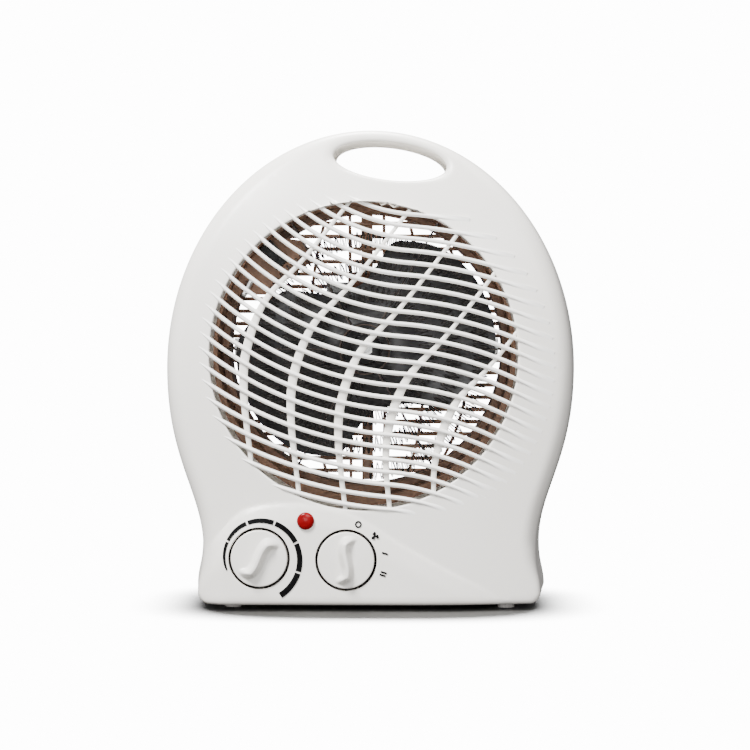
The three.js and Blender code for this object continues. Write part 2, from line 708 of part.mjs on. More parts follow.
function controlBody({ r, front, back }) {
  const can = rod(r, front, back, 0, 0, 24);
  const { pitch, half, halfThick, reach } = TAB;
  const tabs = [-pitch, 0, pitch].map((x) => (
    box(x - half, x + half, back - 0.5, back + reach, -halfThick, halfThick)
  ));
  return cut(join(can, ...tabs), rod(SPINDLE_R + GAP, front - 1, front + 9, 0, 0, 20));
}

// A wire along a smooth route.
function lead(points, radius) {
  const route = new THREE.CatmullRomCurve3(points.map((p) => new THREE.Vector3(...p)));
  const section = new THREE.Shape();
  section.absarc(0, 0, radius, 0, 2 * Math.PI, false);
  return new THREE.ExtrudeGeometry(section, { steps: 10, curveSegments: 4, extrudePath: route });
}

// ---- assembly ----

add('front_shell', frontShell(), PLASTIC);
add('rear_shell', rearShell(), PLASTIC);

[['left', -FOOT.x], ['right', FOOT.x]].forEach(([side, x]) => {
  [['front', FOOT.front], ['rear', FOOT.back]].forEach(([end, y]) => {
    const { r: flange, thick, pegR, peg } = FOOT;
    const profile = [[0, 0], [flange, 0], [flange, thick], [pegR, thick], [pegR, peg], [0, peg]];
    const geometry = new THREE.LatheGeometry(profile.map(([r, z]) => new THREE.Vector2(r, z)), 16);
    add(`foot_${end}_${side}`, geometry.rotateX(Math.PI / 2), RUBBER, x, y, 0);
  });
});

SCREWS.forEach(([x, z], i) => {
  const seat = backY(x, z) - SCREW.sunk;
  const screw = headedPin(SCREW.r, SCREW.headR, SCREW.tip, seat + GAP, SCREW.head);
  add(`case_screw_${i + 1}`, screw, STEEL, x, 0, z);
});

const ringInner = ELEMENT.outer - ELEMENT.skin;
add('mica_ring', tube(ringInner, ELEMENT.outer, ELEMENT.front, ELEMENT.back), MICA, AXIS_X, 0, AXIS_Z);
const coreInner = ELEMENT.core - ELEMENT.skin;
const coreTube = tube(coreInner, ELEMENT.core, ELEMENT.front + 1, ELEMENT.back - 1, 0, 0, 24);
add('mica_core', coreTube, MICA, AXIS_X, 0, AXIS_Z);
for (let i = 0; i < BOARDS; i += 1) {
  const angle = (i * 2 * Math.PI) / BOARDS;
  add(`mica_board_${i + 1}`, micaBoard(angle), MICA, AXIS_X, 0, AXIS_Z);
}
add('heating_wire_front', heatingCoil(COIL_FRONT_Y), NICHROME);
add('heating_wire_rear', heatingCoil(COIL_REAR_Y), NICHROME);

const cutout = thermalCutout().translate(CUTOUT.r, ELEMENT.front + 10, 0).rotateY(-CUTOUT.angle);
add('thermal_cutout', cutout, BLACK, AXIS_X, 0, AXIS_Z);
const fuse = new THREE.CapsuleGeometry(FUSE_BODY.r, FUSE_BODY.length, 3, 10).rotateX(Math.PI / 2);
fuse.translate(FUSE_LINK.r, ELEMENT.front + 6, 0).rotateY(-FUSE_LINK.angle);
add('thermal_fuse', fuse, STEEL, AXIS_X, 0, AXIS_Z);

add('fan_shroud', tube(SHROUD.inner, SHROUD.outer, SHROUD.front, SHROUD.back), PHENOLIC, AXIS_X, 0, AXIS_Z);
add('fan', fan(), DARK, AXIS_X, 0, AXIS_Z);
add('fan_nut', tube(SHAFT_R + GAP, NUT.r, NUT.front, NUT.back, 0, 0, 6), STEEL, AXIS_X, 0, AXIS_Z);
add('motor_shaft', rod(SHAFT_R, SHAFT.front, SHAFT.back, 0, 0, 16), STEEL, AXIS_X, 0, AXIS_Z);
const rotor = tube(SHAFT_R + GAP, ROTOR_R, STATOR.front + 1, STATOR.back - 1, 0, 0, 24);
add('rotor', rotor, LAMINATION, AXIS_X, 0, AXIS_Z);
add('stator', stator(), LAMINATION, AXIS_X, 0, AXIS_Z);
const wound = box(-WINDING.half, WINDING.half, WINDING.front, WINDING.back, WINDING.foot, WINDING.head);
const limb = box(-LIMB.half, LIMB.half, LIMB.front, LIMB.back, LIMB.foot, LIMB.head);
add('motor_winding', cut(wound, limb), COPPER, AXIS_X, 0, AXIS_Z);
add('bearing_plate_front', bearingPlate(FRONT_PLATE), STEEL, AXIS_X, 0, AXIS_Z);
add('bearing_plate_rear', bearingPlate(REAR_PLATE), STEEL, AXIS_X, 0, AXIS_Z);
add('motor_bracket', motorBracket(), STEEL, AXIS_X, 0, AXIS_Z);
[['left', -BOLT_X], ['right', BOLT_X]].forEach(([side, x]) => {
  const { r, headR, front, back, head } = MOTOR_BOLT;
  add(`motor_bolt_${side}`, headedPin(r, headR, front, back, head), STEEL, AXIS_X + x, 0, AXIS_Z);
});

const spindle = rod(SPINDLE_R, SPINDLE.front, SPINDLE.back, 0, 0, 20);
add('thermostat_knob', knob(THERMOSTAT.pointer), PLASTIC, THERMOSTAT.x, 0, THERMOSTAT.z);
add('thermostat_spindle', spindle, STEEL, THERMOSTAT.x, 0, THERMOSTAT.z);
add('thermostat_body', controlBody(THERMOSTAT_CAN), PHENOLIC, THERMOSTAT.x, 0, THERMOSTAT.z);
add('selector_knob', knob(SELECTOR.pointer), PLASTIC, SELECTOR.x, 0, SELECTOR.z);
add('selector_spindle', spindle.clone(), STEEL, SELECTOR.x, 0, SELECTOR.z);
add('selector_switch', controlBody(SWITCH_CAN), PHENOLIC, SELECTOR.x, 0, SELECTOR.z);

const lens = new THREE.LatheGeometry(LENS_PROFILE.map(([r, y]) => new THREE.Vector2(r, y)), 24);
add('indicator_lens', lens, RED, LENS.x, 0, LENS.z);
add('neon_lamp', new THREE.CapsuleGeometry(LAMP.r, LAMP.length, 3, 12), GLASS, LENS.x, LAMP.y, LENS.z);

const gland = new THREE.LatheGeometry(GLAND_PROFILE.map(([r, y]) => new THREE.Vector2(r, y)), 20);
add('cord_gland', gland, PLASTIC, GLAND.x, 0, GLAND.z);
const { left, right, front, back, foot, head } = TERMINALS;
add('terminal_block', box(left, right, front, back, foot, head), RUBBER);
add('lead_supply', lead(SUPPLY_ROUTE, SUPPLY_WIRE_R), BLACK);
add('lead_switch', lead(SWITCH_ROUTE, CONTROL_WIRE_R), BLACK);
add('lead_thermostat', lead(THERMOSTAT_ROUTE, CONTROL_WIRE_R), BLACK);

export default heater;
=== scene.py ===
"""Looks of an upright domestic fan heater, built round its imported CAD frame.

Lengths are millimetres in the heater's own frame, with +Z up and the front facing -Y, and
become metres when a mesh is made. An outline or a path is an array of (x, z) rows.
"""
import json
import math

import bmesh
import bpy
import numpy as np
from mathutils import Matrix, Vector
from mathutils.geometry import delaunay_2d_cdt


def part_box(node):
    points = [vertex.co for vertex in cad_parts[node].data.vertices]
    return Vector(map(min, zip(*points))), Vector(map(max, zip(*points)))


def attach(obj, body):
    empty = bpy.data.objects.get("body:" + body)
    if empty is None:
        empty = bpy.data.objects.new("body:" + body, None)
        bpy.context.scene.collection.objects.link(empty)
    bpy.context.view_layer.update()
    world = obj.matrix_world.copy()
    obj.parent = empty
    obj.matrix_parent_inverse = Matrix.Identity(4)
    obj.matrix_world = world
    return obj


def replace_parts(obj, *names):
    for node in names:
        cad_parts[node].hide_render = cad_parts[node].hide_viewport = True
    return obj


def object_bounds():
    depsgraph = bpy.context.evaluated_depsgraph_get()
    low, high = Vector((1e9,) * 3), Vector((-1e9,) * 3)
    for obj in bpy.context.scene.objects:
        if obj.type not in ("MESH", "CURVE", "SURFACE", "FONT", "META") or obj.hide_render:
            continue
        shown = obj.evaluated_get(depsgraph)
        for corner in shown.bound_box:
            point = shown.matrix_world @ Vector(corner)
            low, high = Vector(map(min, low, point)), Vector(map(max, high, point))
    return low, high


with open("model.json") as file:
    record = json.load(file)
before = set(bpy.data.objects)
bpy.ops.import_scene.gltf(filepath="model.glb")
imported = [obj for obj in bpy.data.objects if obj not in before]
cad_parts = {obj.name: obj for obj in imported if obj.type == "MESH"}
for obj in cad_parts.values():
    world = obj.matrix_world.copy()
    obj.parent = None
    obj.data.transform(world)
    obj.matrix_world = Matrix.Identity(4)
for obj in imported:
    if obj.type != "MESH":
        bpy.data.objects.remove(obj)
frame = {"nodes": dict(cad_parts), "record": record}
cad_low, cad_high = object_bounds()
MM = 0.001


def centre(node):
    low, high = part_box(node)
    return [(a + b) / 2 / MM for a, b in zip(low, high)]


def span(node):
    low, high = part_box(node)
    return [a / MM for a in low], [b / MM for b in high]


# ---- casing form ----
HALF_WIDTH = cad_high.x / MM
TOP_Z = cad_high.z / MM
DOME_Z = 128.5
BASE_HALF = 96.8
NECK_HALF = 93.9
NECK_Z = 32
FOOT_PULL = [(BASE_HALF - 0.5, 18), (NECK_HALF, 20)]
SIDE_PULL = [(NECK_HALF, 60), (HALF_WIDTH, 77.7)]
BODY_BOTTOM = 3
BASE_CORNER = 6
CORNER_PULL = 0.55
OUTLINE_STEPS = {"base": 44, "corner": 9, "foot": 14, "side": 52, "dome": 90}
FRONT = 55
BACK = 64
SPLIT_Y = 2
SPLIT_GAP = 0.3
WALL = 2.2
EDGE_ROUND = 9
FRONT_DRAFT = 0.11
BACK_DRAFT = 0.02
BASE_ROUND = 2.8
BLEND_TOP = NECK_Z + 4
HANDLE_THINNING = 16
SIDE_SAG = 10
SIDE_REACH = 105
LEAN_START = 90
LEAN_REACH = 162
FRONT_LEAN = 36
BACK_LEAN = 42
CURVE_POWER = 2.5
SEAM_CHAMFER = 0.6

# ---- front grille ----
AXIS_X, _, AXIS_Z = centre("mica_ring")
GRILLE = np.array([AXIS_X, AXIS_Z - 2.5])
GRILLE_R = 82.5
BAR_COUNT = 25
BAR_PITCH = 6.57
BAR_HALF = 1.15
BAR_PROUD = 1.0
BAR_ROUND = 1.7
BAR_DEPTH = 4.6
UPPER_HUB = np.array([32.2, 160])
LOWER_HUB = np.array([5.3, -176.5])
MIDDLE_BAR_R = 163.8
LEFT_FADE = 9
LEFT_NARROWING = 0.55
RIGHT_FADE = 21
RIGHT_SPREAD = 1.3
BAR_STEPS = {"left": 22, "right": 28, "pitch": 3}
MOUND_DEPTH = 1.2
RIB_COUNT = 5
RIB_STEP = np.array([25.3, -13.8])
RIB_SPINE = [(50, 64), (19.7, 25), (-1.6, 1.6), (-11.4, -24), (-13, -48), (-9, -86)]
RIB_BEHIND = 0.5
RIB_DEPTH = 5.4
RIB_THIN = 1.05
RIB_SWELL = {"more": 1.35, "at": 0.64, "spread": 0.23}
RIB_ACROSS = np.array([-1, -0.85, -0.5, 0, 0.5, 0.85, 1])
RIB_CROWN = np.array([0.75, 0.28, 0.06, 0, 0.06, 0.28, 0.75])

# ---- handle slot, control panel and rear wall ----
SLOT = {"x": 11, "z": 241, "a": 31, "b": 10.6, "tilt": math.radians(-7)}
SLOT_STEPS = 128
SLOT_RIM = {"all": 2.6, "ends": 2.4, "top": 1.1, "left": 0.5}
SLOT_RIM_DEPTH = 3.0
PANEL_Y = -56.5
CREASE = [
    (-99, 14), (-90.4, 27.5), (-71.9, 49.8), (-58.7, 56.1), (-40.2, 57.7), (-28, 56.6), (-11.1, 52.9),
    (3.2, 45.5), (18, 36), (31.2, 28.6), (44.4, 21.2), (63, 11.7), (74, 4), (100, -14),
]
CREASE_SHARP = 2.6
CREASE_WIDE = 11.5
SHARP_SHARE = 0.34
CREASE_ROWS = (-1.2, 0, 0.7, 1.4, 2.1, 2.8, 4.2)
PANEL_LEFT = (-96, -75)
PANEL_RIGHT = (12, 80)
WELL_R = 16.4
KNOB_R = 14.95
REAR_R = 78.5
REAR_PITCH = 7.2
REAR_BARS = 21
REAR_BAR_HALF = 1.2
REAR_LONGITUDES = [(0, 400, 3.3), (10, 400, 0.9), (34, 104, 0.9), (60, 96, 0.9)]
THERMOSTAT = centre("thermostat_spindle")
SELECTOR = centre("selector_spindle")
LENS = centre("indicator_lens")
GLAND = centre("cord_gland")
SCREWS = [centre(f"case_screw_{i}") for i in range(1, 5)]


# ---- small maths ----
CHUNK = 4000


def smoothstep(low, high, value):
    t = np.clip((value - low) / (high - low), 0, 1)
    return t * t * (3 - 2 * t)


def bezier(a, b, c, d, count):
    t = np.linspace(0, 1, count, endpoint=False)[:, None]
    a, b, c, d = (np.array(p, float) for p in (a, b, c, d))
    return a * (1 - t) ** 3 + 3 * b * t * (1 - t) ** 2 + 3 * c * t * t * (1 - t) + d * t**3


def spline(points, per_span):
    """A smooth curve through the points (Catmull-Rom)."""
    p = np.array(points, float)
    p = np.vstack([2 * p[0] - p[1], p, 2 * p[-1] - p[-2]])
    t = np.linspace(0, 1, per_span, endpoint=False)[:, None]
    spans = []
    for i in range(1, len(p) - 2):
        a, b, c, d = p[i - 1 : i + 3]
        square = 2 * a - 5 * b + 4 * c - d
        cube = 3 * b - a - 3 * c + d
        spans.append(0.5 * (2 * b + (c - a) * t + square * t**2 + cube * t**3))
    return np.vstack([*spans, p[-2:-1]])


def resampled(path, step):
    """The same curve with evenly spaced points."""
    along = np.concatenate([[0], np.cumsum(np.linalg.norm(np.diff(path, axis=0), axis=1))])
    at = np.linspace(0, along[-1], max(2, int(round(along[-1] / step)) + 1))
    return np.stack([np.interp(at, along, path[:, k]) for k in range(path.shape[1])], axis=1)


def directions(path, closed=False):
    """Unit vectors along a path, one at each point."""
    if closed:
        step = np.roll(path, -1, axis=0) - np.roll(path, 1, axis=0)
    else:
        step = np.gradient(path, axis=0)
    return step / np.linalg.norm(step, axis=1)[:, None]


def left_of(along):
    return np.stack([-along[:, 1], along[:, 0]], axis=1)


def inside(points, loop):
    x, z = points[:, 0][:, None], points[:, 1][:, None]
    x0, z0 = loop[:, 0][None], loop[:, 1][None]
    x1, z1 = np.roll(loop[:, 0], -1)[None], np.roll(loop[:, 1], -1)[None]
    crosses = (z0 > z) != (z1 > z)
    rise = np.where(z1 == z0, 1, z1 - z0)
    return (crosses & (x < x0 + (z - z0) * (x1 - x0) / rise)).sum(axis=1) % 2 == 1


def distance(points, loop, closed=True):
    """Distance to a loop, and the index of the nearest segment's start."""
    start = loop if closed else loop[:-1]
    step = (np.roll(loop, -1, axis=0) if closed else loop[1:])[: len(start)] - start
    best, which = np.zeros(len(points)), np.zeros(len(points), int)
    for first in range(0, len(points), CHUNK):
        rows = slice(first, first + CHUNK)
        p = points[rows][:, None]
        t = np.clip(((p - start) * step).sum(2) / (step**2).sum(1), 0, 1)
        gap = np.linalg.norm(p - start - t[..., None] * step, axis=2)
        which[rows] = gap.argmin(axis=1)
        best[rows] = gap.min(axis=1)
    return best, which


# ---- casing surfaces ----
def sag(x, z, lean):
    side = SIDE_SAG * (np.abs(x) / SIDE_REACH) ** CURVE_POWER
    return side + lean * (np.maximum(0, z - LEAN_START) / LEAN_REACH) ** CURVE_POWER


crease_line = spline(CREASE, 24)
crease_slope = np.gradient(crease_line[:, 1], crease_line[:, 0])


def panel_raise(x, z):
    """How far the control panel stands forward of the plain front surface."""
    plain = -(FRONT - sag(x, z, FRONT_LEAN))
    slope = np.interp(x, crease_line[:, 0], crease_slope)
    below = (np.interp(x, crease_line[:, 0], crease_line[:, 1]) - z) / np.sqrt(1 + slope**2)
    step = SHARP_SHARE * smoothstep(0, CREASE_SHARP, below)
    step = step + (1 - SHARP_SHARE) * smoothstep(0, CREASE_WIDE, below)
    reach = smoothstep(*PANEL_LEFT, x) * (1 - smoothstep(*PANEL_RIGHT, x))
    return np.maximum(0, plain - PANEL_Y) * step * reach


def front_plain(x, z):
    return -(FRONT - sag(x, z, FRONT_LEAN)) - panel_raise(x, z)


def back_plain(x, z):
    return BACK - sag(x, z, BACK_LEAN)


def casing_outline():
    """Counter-clockwise from the middle of the base."""
    corner_z = BODY_BOTTOM + BASE_CORNER
    flat = BASE_HALF - BASE_CORNER
    pull = CORNER_PULL * BASE_CORNER
    steps = OUTLINE_STEPS
    across = np.linspace(0, flat, steps["base"], endpoint=False)
    base = np.stack([across, np.full(len(across), BODY_BOTTOM)], axis=1)
    corner = bezier((flat, BODY_BOTTOM), (flat + pull, BODY_BOTTOM), (BASE_HALF, corner_z - pull),
                    (BASE_HALF, corner_z), steps["corner"])
    foot = bezier((BASE_HALF, corner_z), *FOOT_PULL, (NECK_HALF, NECK_Z), steps["foot"])
    side = bezier((NECK_HALF, NECK_Z), *SIDE_PULL, (HALF_WIDTH, DOME_Z), steps["side"])
    turn = np.linspace(0, math.pi / 2, steps["dome"])
    dome = np.stack([HALF_WIDTH * np.cos(turn), DOME_Z + (TOP_Z - DOME_Z) * np.sin(turn)], axis=1)
    right = np.vstack([base, corner, foot, side, dome])
    return np.vstack([right, right[-2:0:-1] * [-1, 1]])


def ellipse(x, z, a, b, tilt=0.0, count=96):
    """Points of an ellipse and the outward direction at each."""
    turn = np.linspace(0, 2 * math.pi, count, endpoint=False)
    local = np.stack([a * np.cos(turn), b * np.sin(turn)], axis=1)
    normal = np.stack([np.cos(turn) / a, np.sin(turn) / b], axis=1)
    normal /= np.linalg.norm(normal, axis=1)[:, None]
    spin = np.array([[math.cos(tilt), math.sin(tilt)], [-math.sin(tilt), math.cos(tilt)]])
    return local @ spin + [x, z], normal @ spin


outline = casing_outline()
inward = left_of(directions(outline, closed=True))
slot_edge, slot_out = ellipse(*SLOT.values(), SLOT_STEPS)
base_blend = smoothstep(BODY_BOTTOM, BLEND_TOP, outline[:, 1])
handle_gap = distance(outline, slot_edge)[0]
edge_round = BASE_ROUND + (EDGE_ROUND - BASE_ROUND) * base_blend
edge_round *= 1 - np.exp(-handle_gap / HANDLE_THINNING)
# Around the slot the surface rolls in furthest at its ends, and least below it.
slot_turn = np.linspace(0, 2 * math.pi, SLOT_STEPS, endpoint=False)
slot_rim = SLOT_RIM["all"] + SLOT_RIM["ends"] * np.cos(slot_turn) ** 4
slot_rim += SLOT_RIM["top"] * np.sin(slot_turn) - SLOT_RIM["left"] * np.cos(slot_turn)


def quarter_drop(share):
    """Drop of a quarter round, for 0 at its start to 1 at its far edge."""
    return 1 - np.sqrt(np.clip(1 - share**2, 0, 1))


def drafted(plain, draft):
    """The outline where the side wall meets the face: it narrows away from the seam, but the
    base stays flat."""
    depth = np.abs(plain(outline[:, 0], outline[:, 1]) - SPLIT_Y) - edge_round
    narrowing = np.column_stack([-outline[:, 0] / BASE_HALF, np.zeros(len(outline))])
    way = narrowing + (inward - narrowing) * base_blend[:, None]
    return outline + way * (draft * depth)[:, None]


front_edge = drafted(front_plain, FRONT_DRAFT)
back_edge = drafted(back_plain, BACK_DRAFT)


def edge_drop(points, edge):
    gap, near = distance(points, edge)
    radius = edge_round[near]
    return radius * quarter_drop(np.clip(1 - gap / radius, 0, 1))


def front_height(points):
    return front_plain(points[:, 0], points[:, 1]) + edge_drop(points, front_edge)


def back_height(points):
    return back_plain(points[:, 0], points[:, 1]) - edge_drop(points, back_edge)


# ---- meshes ----
def at_depth(ring, y):
    """(x, z) rows as points in space, at one depth or at one for each."""
    return np.column_stack([ring[:, 0], np.broadcast_to(y, len(ring)), ring[:, 1]])


class Parts:
    """Collects closed bodies and surfaces into one mesh."""

    def __init__(self):
        self.points = []
        self.faces = []
        self.count = 0

    def add(self, points, faces):
        self.points.append(np.asarray(points, float))
        self.faces += [tuple(int(i) + self.count for i in f) for f in faces]
        self.count += len(points)

    def rings(self, rings, closed=False, caps=True):
        """Quads between rings of equal length, capped at both ends or closed on themselves."""
        n = len(rings[0])
        faces = []
        last = len(rings) if closed else len(rings) - 1
        for r in range(last):
            a0, b0 = r * n, ((r + 1) % len(rings)) * n
            for i in range(n):
                j = (i + 1) % n
                faces.append((a0 + i, a0 + j, b0 + j, b0 + i))
        if caps and not closed:
            faces.append(tuple(range(n - 1, -1, -1)))
            faces.append(tuple(range((len(rings) - 1) * n, len(rings) * n)))
        self.add(np.vstack(rings), faces)

    def build(self, name, made, body="casing", slot="casing", sharp=38, thick=0):
        """The piece as an object. With thick, its surface gets a wall of that thickness inside it."""
        mesh = bpy.data.meshes.new(name)
        mesh.from_pydata((np.vstack(self.points) * MM).tolist(), [], self.faces)
        face_outward(mesh, weld=thick > 0)
        piece = bpy.data.objects.new(name, mesh)
        bpy.context.scene.collection.objects.link(piece)
        if thick:
            wall = piece.modifiers.new("wall", "SOLIDIFY")
            wall.thickness = thick * MM
            wall.offset = -1
            shown = piece.evaluated_get(bpy.context.evaluated_depsgraph_get())
            piece.data = bpy.data.meshes.new_from_object(shown)
            piece.data.name = name
            piece.modifiers.clear()
        piece.data.shade_smooth()
        piece.data.set_sharp_from_angle(angle=math.radians(sharp))
        piece.data.materials.clear()
        piece.data.materials.append(made)
        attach(piece, body)
        return piece


def face_outward(mesh, weld):
    """Turns all faces to look out. On an open surface, the one furthest to the right looks right."""
    shape = bmesh.new()
    shape.from_mesh(mesh)
    if weld:
        bmesh.ops.remove_doubles(shape, verts=shape.verts, dist=0.01 * MM)
    bmesh.ops.recalc_face_normals(shape, faces=shape.faces)
    rightmost = max(shape.faces, key=lambda f: f.calc_center_median().x)
    if weld and rightmost.normal.x < 0:
        bmesh.ops.reverse_faces(shape, faces=shape.faces)
    shape.to_mesh(mesh)
    shape.free()


def spun(profile, x, z, count=128):
    """Rings of (radius, y) turned about an axis along Y."""
    turn = np.linspace(0, 2 * math.pi, count, endpoint=False)
    return [
        np.stack([x + r * np.cos(turn), np.full(count, y), z + r * np.sin(turn)], axis=1)
        for r, y in profile
    ]


def section_sweep(path, normals, sections):
    """Rings for a sweep: at each point, section rows of (across, y)."""
    rings = []
    for p, side, section in zip(path, normals, sections):
        section = np.asarray(section)
        ring = np.empty((len(section), 3))
        ring[:, 0] = p[0] + side[0] * section[:, 0]
        ring[:, 1] = section[:, 1]
        ring[:, 2] = p[1] + side[1] * section[:, 0]
        rings.append(ring)
    return rings


def tube_rings(path, radius, sides):
    """Rings of a round wire along a path in space."""
    along = np.gradient(path, axis=0)
    along /= np.linalg.norm(along, axis=1)[:, None]
    side = np.cross(along, [0, 1, 0])
    side /= np.linalg.norm(side, axis=1)[:, None]
    up = np.cross(side, along)
    turn = np.linspace(0, 2 * math.pi, sides, endpoint=False)
    ring = np.cos(turn)[None, :, None] * side[:, None] + np.sin(turn)[None, :, None] * up[:, None]
    return list(path[:, None] + radius * ring)


# ---- materials ----
BROAD_DETAIL = 4.0
FINE_DETAIL = 2.0
RAMP_STOPS = (0.34, 0.66)


def finish(name, dark, light, rough, size, bump=0.0, bump_size=None, metal=0.0, stretch=(1, 1, 1),
           rough_spread=0.06, **sockets):
    """A surface whose colour, roughness and relief all vary. Sizes are millimetres."""
    made = bpy.data.materials.new(name)
    made.use_nodes = True
    nodes, links = made.node_tree.nodes, made.node_tree.links
    shader = nodes["Principled BSDF"]
    place = nodes.new("ShaderNodeTexCoord")
    mapping = nodes.new("ShaderNodeMapping")
    mapping.inputs["Scale"].default_value = stretch
    links.new(place.outputs["Object"], mapping.inputs["Vector"])

    def noise(feature, noise_detail):
        node = nodes.new("ShaderNodeTexNoise")
        node.inputs["Scale"].default_value = 1 / (feature * MM)
        node.inputs["Detail"].default_value = noise_detail
        links.new(mapping.outputs["Vector"], node.inputs["Vector"])
        return node.outputs["Fac"]

    broad = noise(size, BROAD_DETAIL)
    ramp = nodes.new("ShaderNodeValToRGB")
    for stop, position, colour in zip(ramp.color_ramp.elements, RAMP_STOPS, (dark, light)):
        stop.position = position
        stop.color = (*colour, 1)
    links.new(broad, ramp.inputs["Fac"])
    links.new(ramp.outputs["Color"], shader.inputs["Base Color"])
    fine = noise(bump_size or size / 6, FINE_DETAIL)
    spread = nodes.new("ShaderNodeMapRange")
    spread.inputs["To Min"].default_value = rough - rough_spread
    spread.inputs["To Max"].default_value = rough + rough_spread
    links.new(fine, spread.inputs["Value"])
    links.new(spread.outputs["Result"], shader.inputs["Roughness"])
    if bump:
        relief = nodes.new("ShaderNodeBump")
        relief.inputs["Strength"].default_value = 1.0
        relief.inputs["Distance"].default_value = bump * MM
        links.new(fine, relief.inputs["Height"])
        links.new(relief.outputs["Normal"], shader.inputs["Normal"])
    shader.inputs["Metallic"].default_value = metal
    for socket, value in sockets.items():
        shader.inputs[socket.replace("_", " ")].default_value = value
    return made


casing_finish = finish("satin_white_plastic", (0.765, 0.738, 0.69), (0.795, 0.77, 0.725), 0.36, 60, 0.012,
                       0.9, Specular_IOR_Level=0.45)
knob_finish = finish("knob_plastic", (0.75, 0.725, 0.68), (0.78, 0.757, 0.715), 0.32, 18, 0.006, 0.6)
foot_finish = finish("foot_rubber", (0.62, 0.60, 0.57), (0.72, 0.70, 0.67), 0.7, 3, 0.03, 0.5)
steel_finish = finish("zinc_plate", (0.46, 0.46, 0.45), (0.66, 0.66, 0.65), 0.34, 5, 0.01, 0.8, metal=1.0)
mica_finish = finish("mica_board", (0.18, 0.092, 0.052), (0.23, 0.12, 0.07), 0.55, 7, 0.02, 1.2,
                     stretch=(1, 2.5, 1), rough_spread=0.12)
# The duct's brown is painted shade, standing in for the warm shade inside the heater.
duct_painted_shade_finish = finish("duct_painted_shade_brown", (0.165, 0.085, 0.048), (0.21, 0.11, 0.065), 0.55, 9, 0.02, 1.0)
wire_finish = finish("nichrome", (0.018, 0.016, 0.015), (0.045, 0.041, 0.038), 0.55, 4, 0.01, 0.5, metal=0.3)
fan_finish = finish("fan_paint", (0.026, 0.025, 0.027), (0.062, 0.06, 0.062), 0.32, 42, 0.002, 1.5,
                    metal=0.1, rough_spread=0.04)
black_finish = finish("black_plastic", (0.007, 0.007, 0.007), (0.014, 0.014, 0.014), 0.5, 4, 0.02, 0.5,
                      Specular_IOR_Level=0.2)
ink_finish = finish("black_ink", (0.0012, 0.0012, 0.0014), (0.003, 0.003, 0.0034), 0.7, 3, 0.004, 0.4,
                    Specular_IOR_Level=0.05)
phenolic_finish = finish("phenolic", (0.035, 0.022, 0.015), (0.06, 0.04, 0.03), 0.5, 5, 0.02, 0.8)
copper_finish = finish("enamelled_copper", (0.055, 0.022, 0.012), (0.11, 0.045, 0.022), 0.4, 2, 0.12, 0.55,
                       metal=0.6, stretch=(1, 1, 3))
lamination_finish = finish("laminations", (0.10, 0.10, 0.10), (0.27, 0.27, 0.27), 0.45, 2.4, 0.1, 0.5,
                           metal=0.8, stretch=(0.05, 1, 0.05))
# The mica boards get a far darker mica than the liner's.
board_finish = finish("dark_board_mica", (0.022, 0.015, 0.011), (0.045, 0.03, 0.022), 0.5, 6, 0.02, 1.0)
# The grille bars are the casing's plastic in a lighter colour: painted light, for the light that their
# rounded fronts catch.
bar_painted_light_finish = finish("grille_plastic_painted_light", (0.88, 0.863, 0.83), (0.90, 0.885, 0.855), 0.36, 60, 0.012, 0.9)
nylon_finish = finish("pale_nylon", (0.66, 0.64, 0.60), (0.72, 0.70, 0.66), 0.4, 8, 0.01, 0.8)
lens_finish = finish("red_lens", (0.135, 0.0022, 0.0036), (0.19, 0.003, 0.005), 0.22, 3, 0.01, 0.8,
                     rough_spread=0.03, Specular_IOR_Level=0.12)
glow_finish = finish("lamp_glass", (0.55, 0.25, 0.15), (0.7, 0.4, 0.25), 0.1, 4, 0.0, 1.0, rough_spread=0.02,
                     Transmission_Weight=0.5)

# The rear bars get a painted shade: the sides that face the element are coloured brown, standing in for the
# warm shade inside the heater.
rear_bar_painted_shade_finish = finish("rear_bar_plastic_painted_shade", (0.735, 0.722, 0.70), (0.765, 0.753, 0.733), 0.38, 60, 0.012, 0.9)
# A normal's Y where the painted shade starts, and where it is full.
PAINTED_SHADE_FROM = 0.75
PAINTED_SHADE_FULL = -0.2
PAINTED_SHADE_BROWN = (0.44, 0.25, 0.16)


def paint_shade_on_front_faces(made, shade_brown):
    """Paints brown shade on whatever faces the front, and leaves the rest plain."""
    nodes, links = made.node_tree.nodes, made.node_tree.links
    shader = nodes["Principled BSDF"]
    plain = shader.inputs["Base Color"].links[0].from_socket
    facing = nodes.new("ShaderNodeNewGeometry")
    parts = nodes.new("ShaderNodeSeparateXYZ")
    links.new(facing.outputs["True Normal"], parts.inputs["Vector"])
    share = nodes.new("ShaderNodeMapRange")
    share.interpolation_type = "SMOOTHSTEP"
    share.inputs["From Min"].default_value = PAINTED_SHADE_FROM
    share.inputs["From Max"].default_value = PAINTED_SHADE_FULL
    links.new(parts.outputs["Y"], share.inputs["Value"])
    blend = nodes.new("ShaderNodeMix")
    blend.data_type = "RGBA"
    blend.inputs["B"].default_value = (*shade_brown, 1)
    links.new(share.outputs["Result"], blend.inputs["Factor"])
    links.new(plain, blend.inputs["A"])
    links.new(blend.outputs["Result"], shader.inputs["Base Color"])


paint_shade_on_front_faces(rear_bar_painted_shade_finish, PAINTED_SHADE_BROWN)


# ---- shells ----
class Hole:
    """A hole in a shell's face. Its rim rolls in, and its wall then follows steps of
    (distance inside the edge, depth)."""

    def __init__(self, edge, out, rim, wall, rim_depth=None):
        self.edge = edge
        self.out = out
        self.rim = np.broadcast_to(rim, len(edge))[:, None]
        self.rim_depth = rim_depth or float(self.rim.mean())
        self.wall = wall
        self.mouth = edge + out * self.rim


def round_hole(x, z, radius, rim, wall, count=72):
    edge, out = ellipse(x, z, radius, radius, 0.0, count)
    return Hole(edge, out, rim, wall)


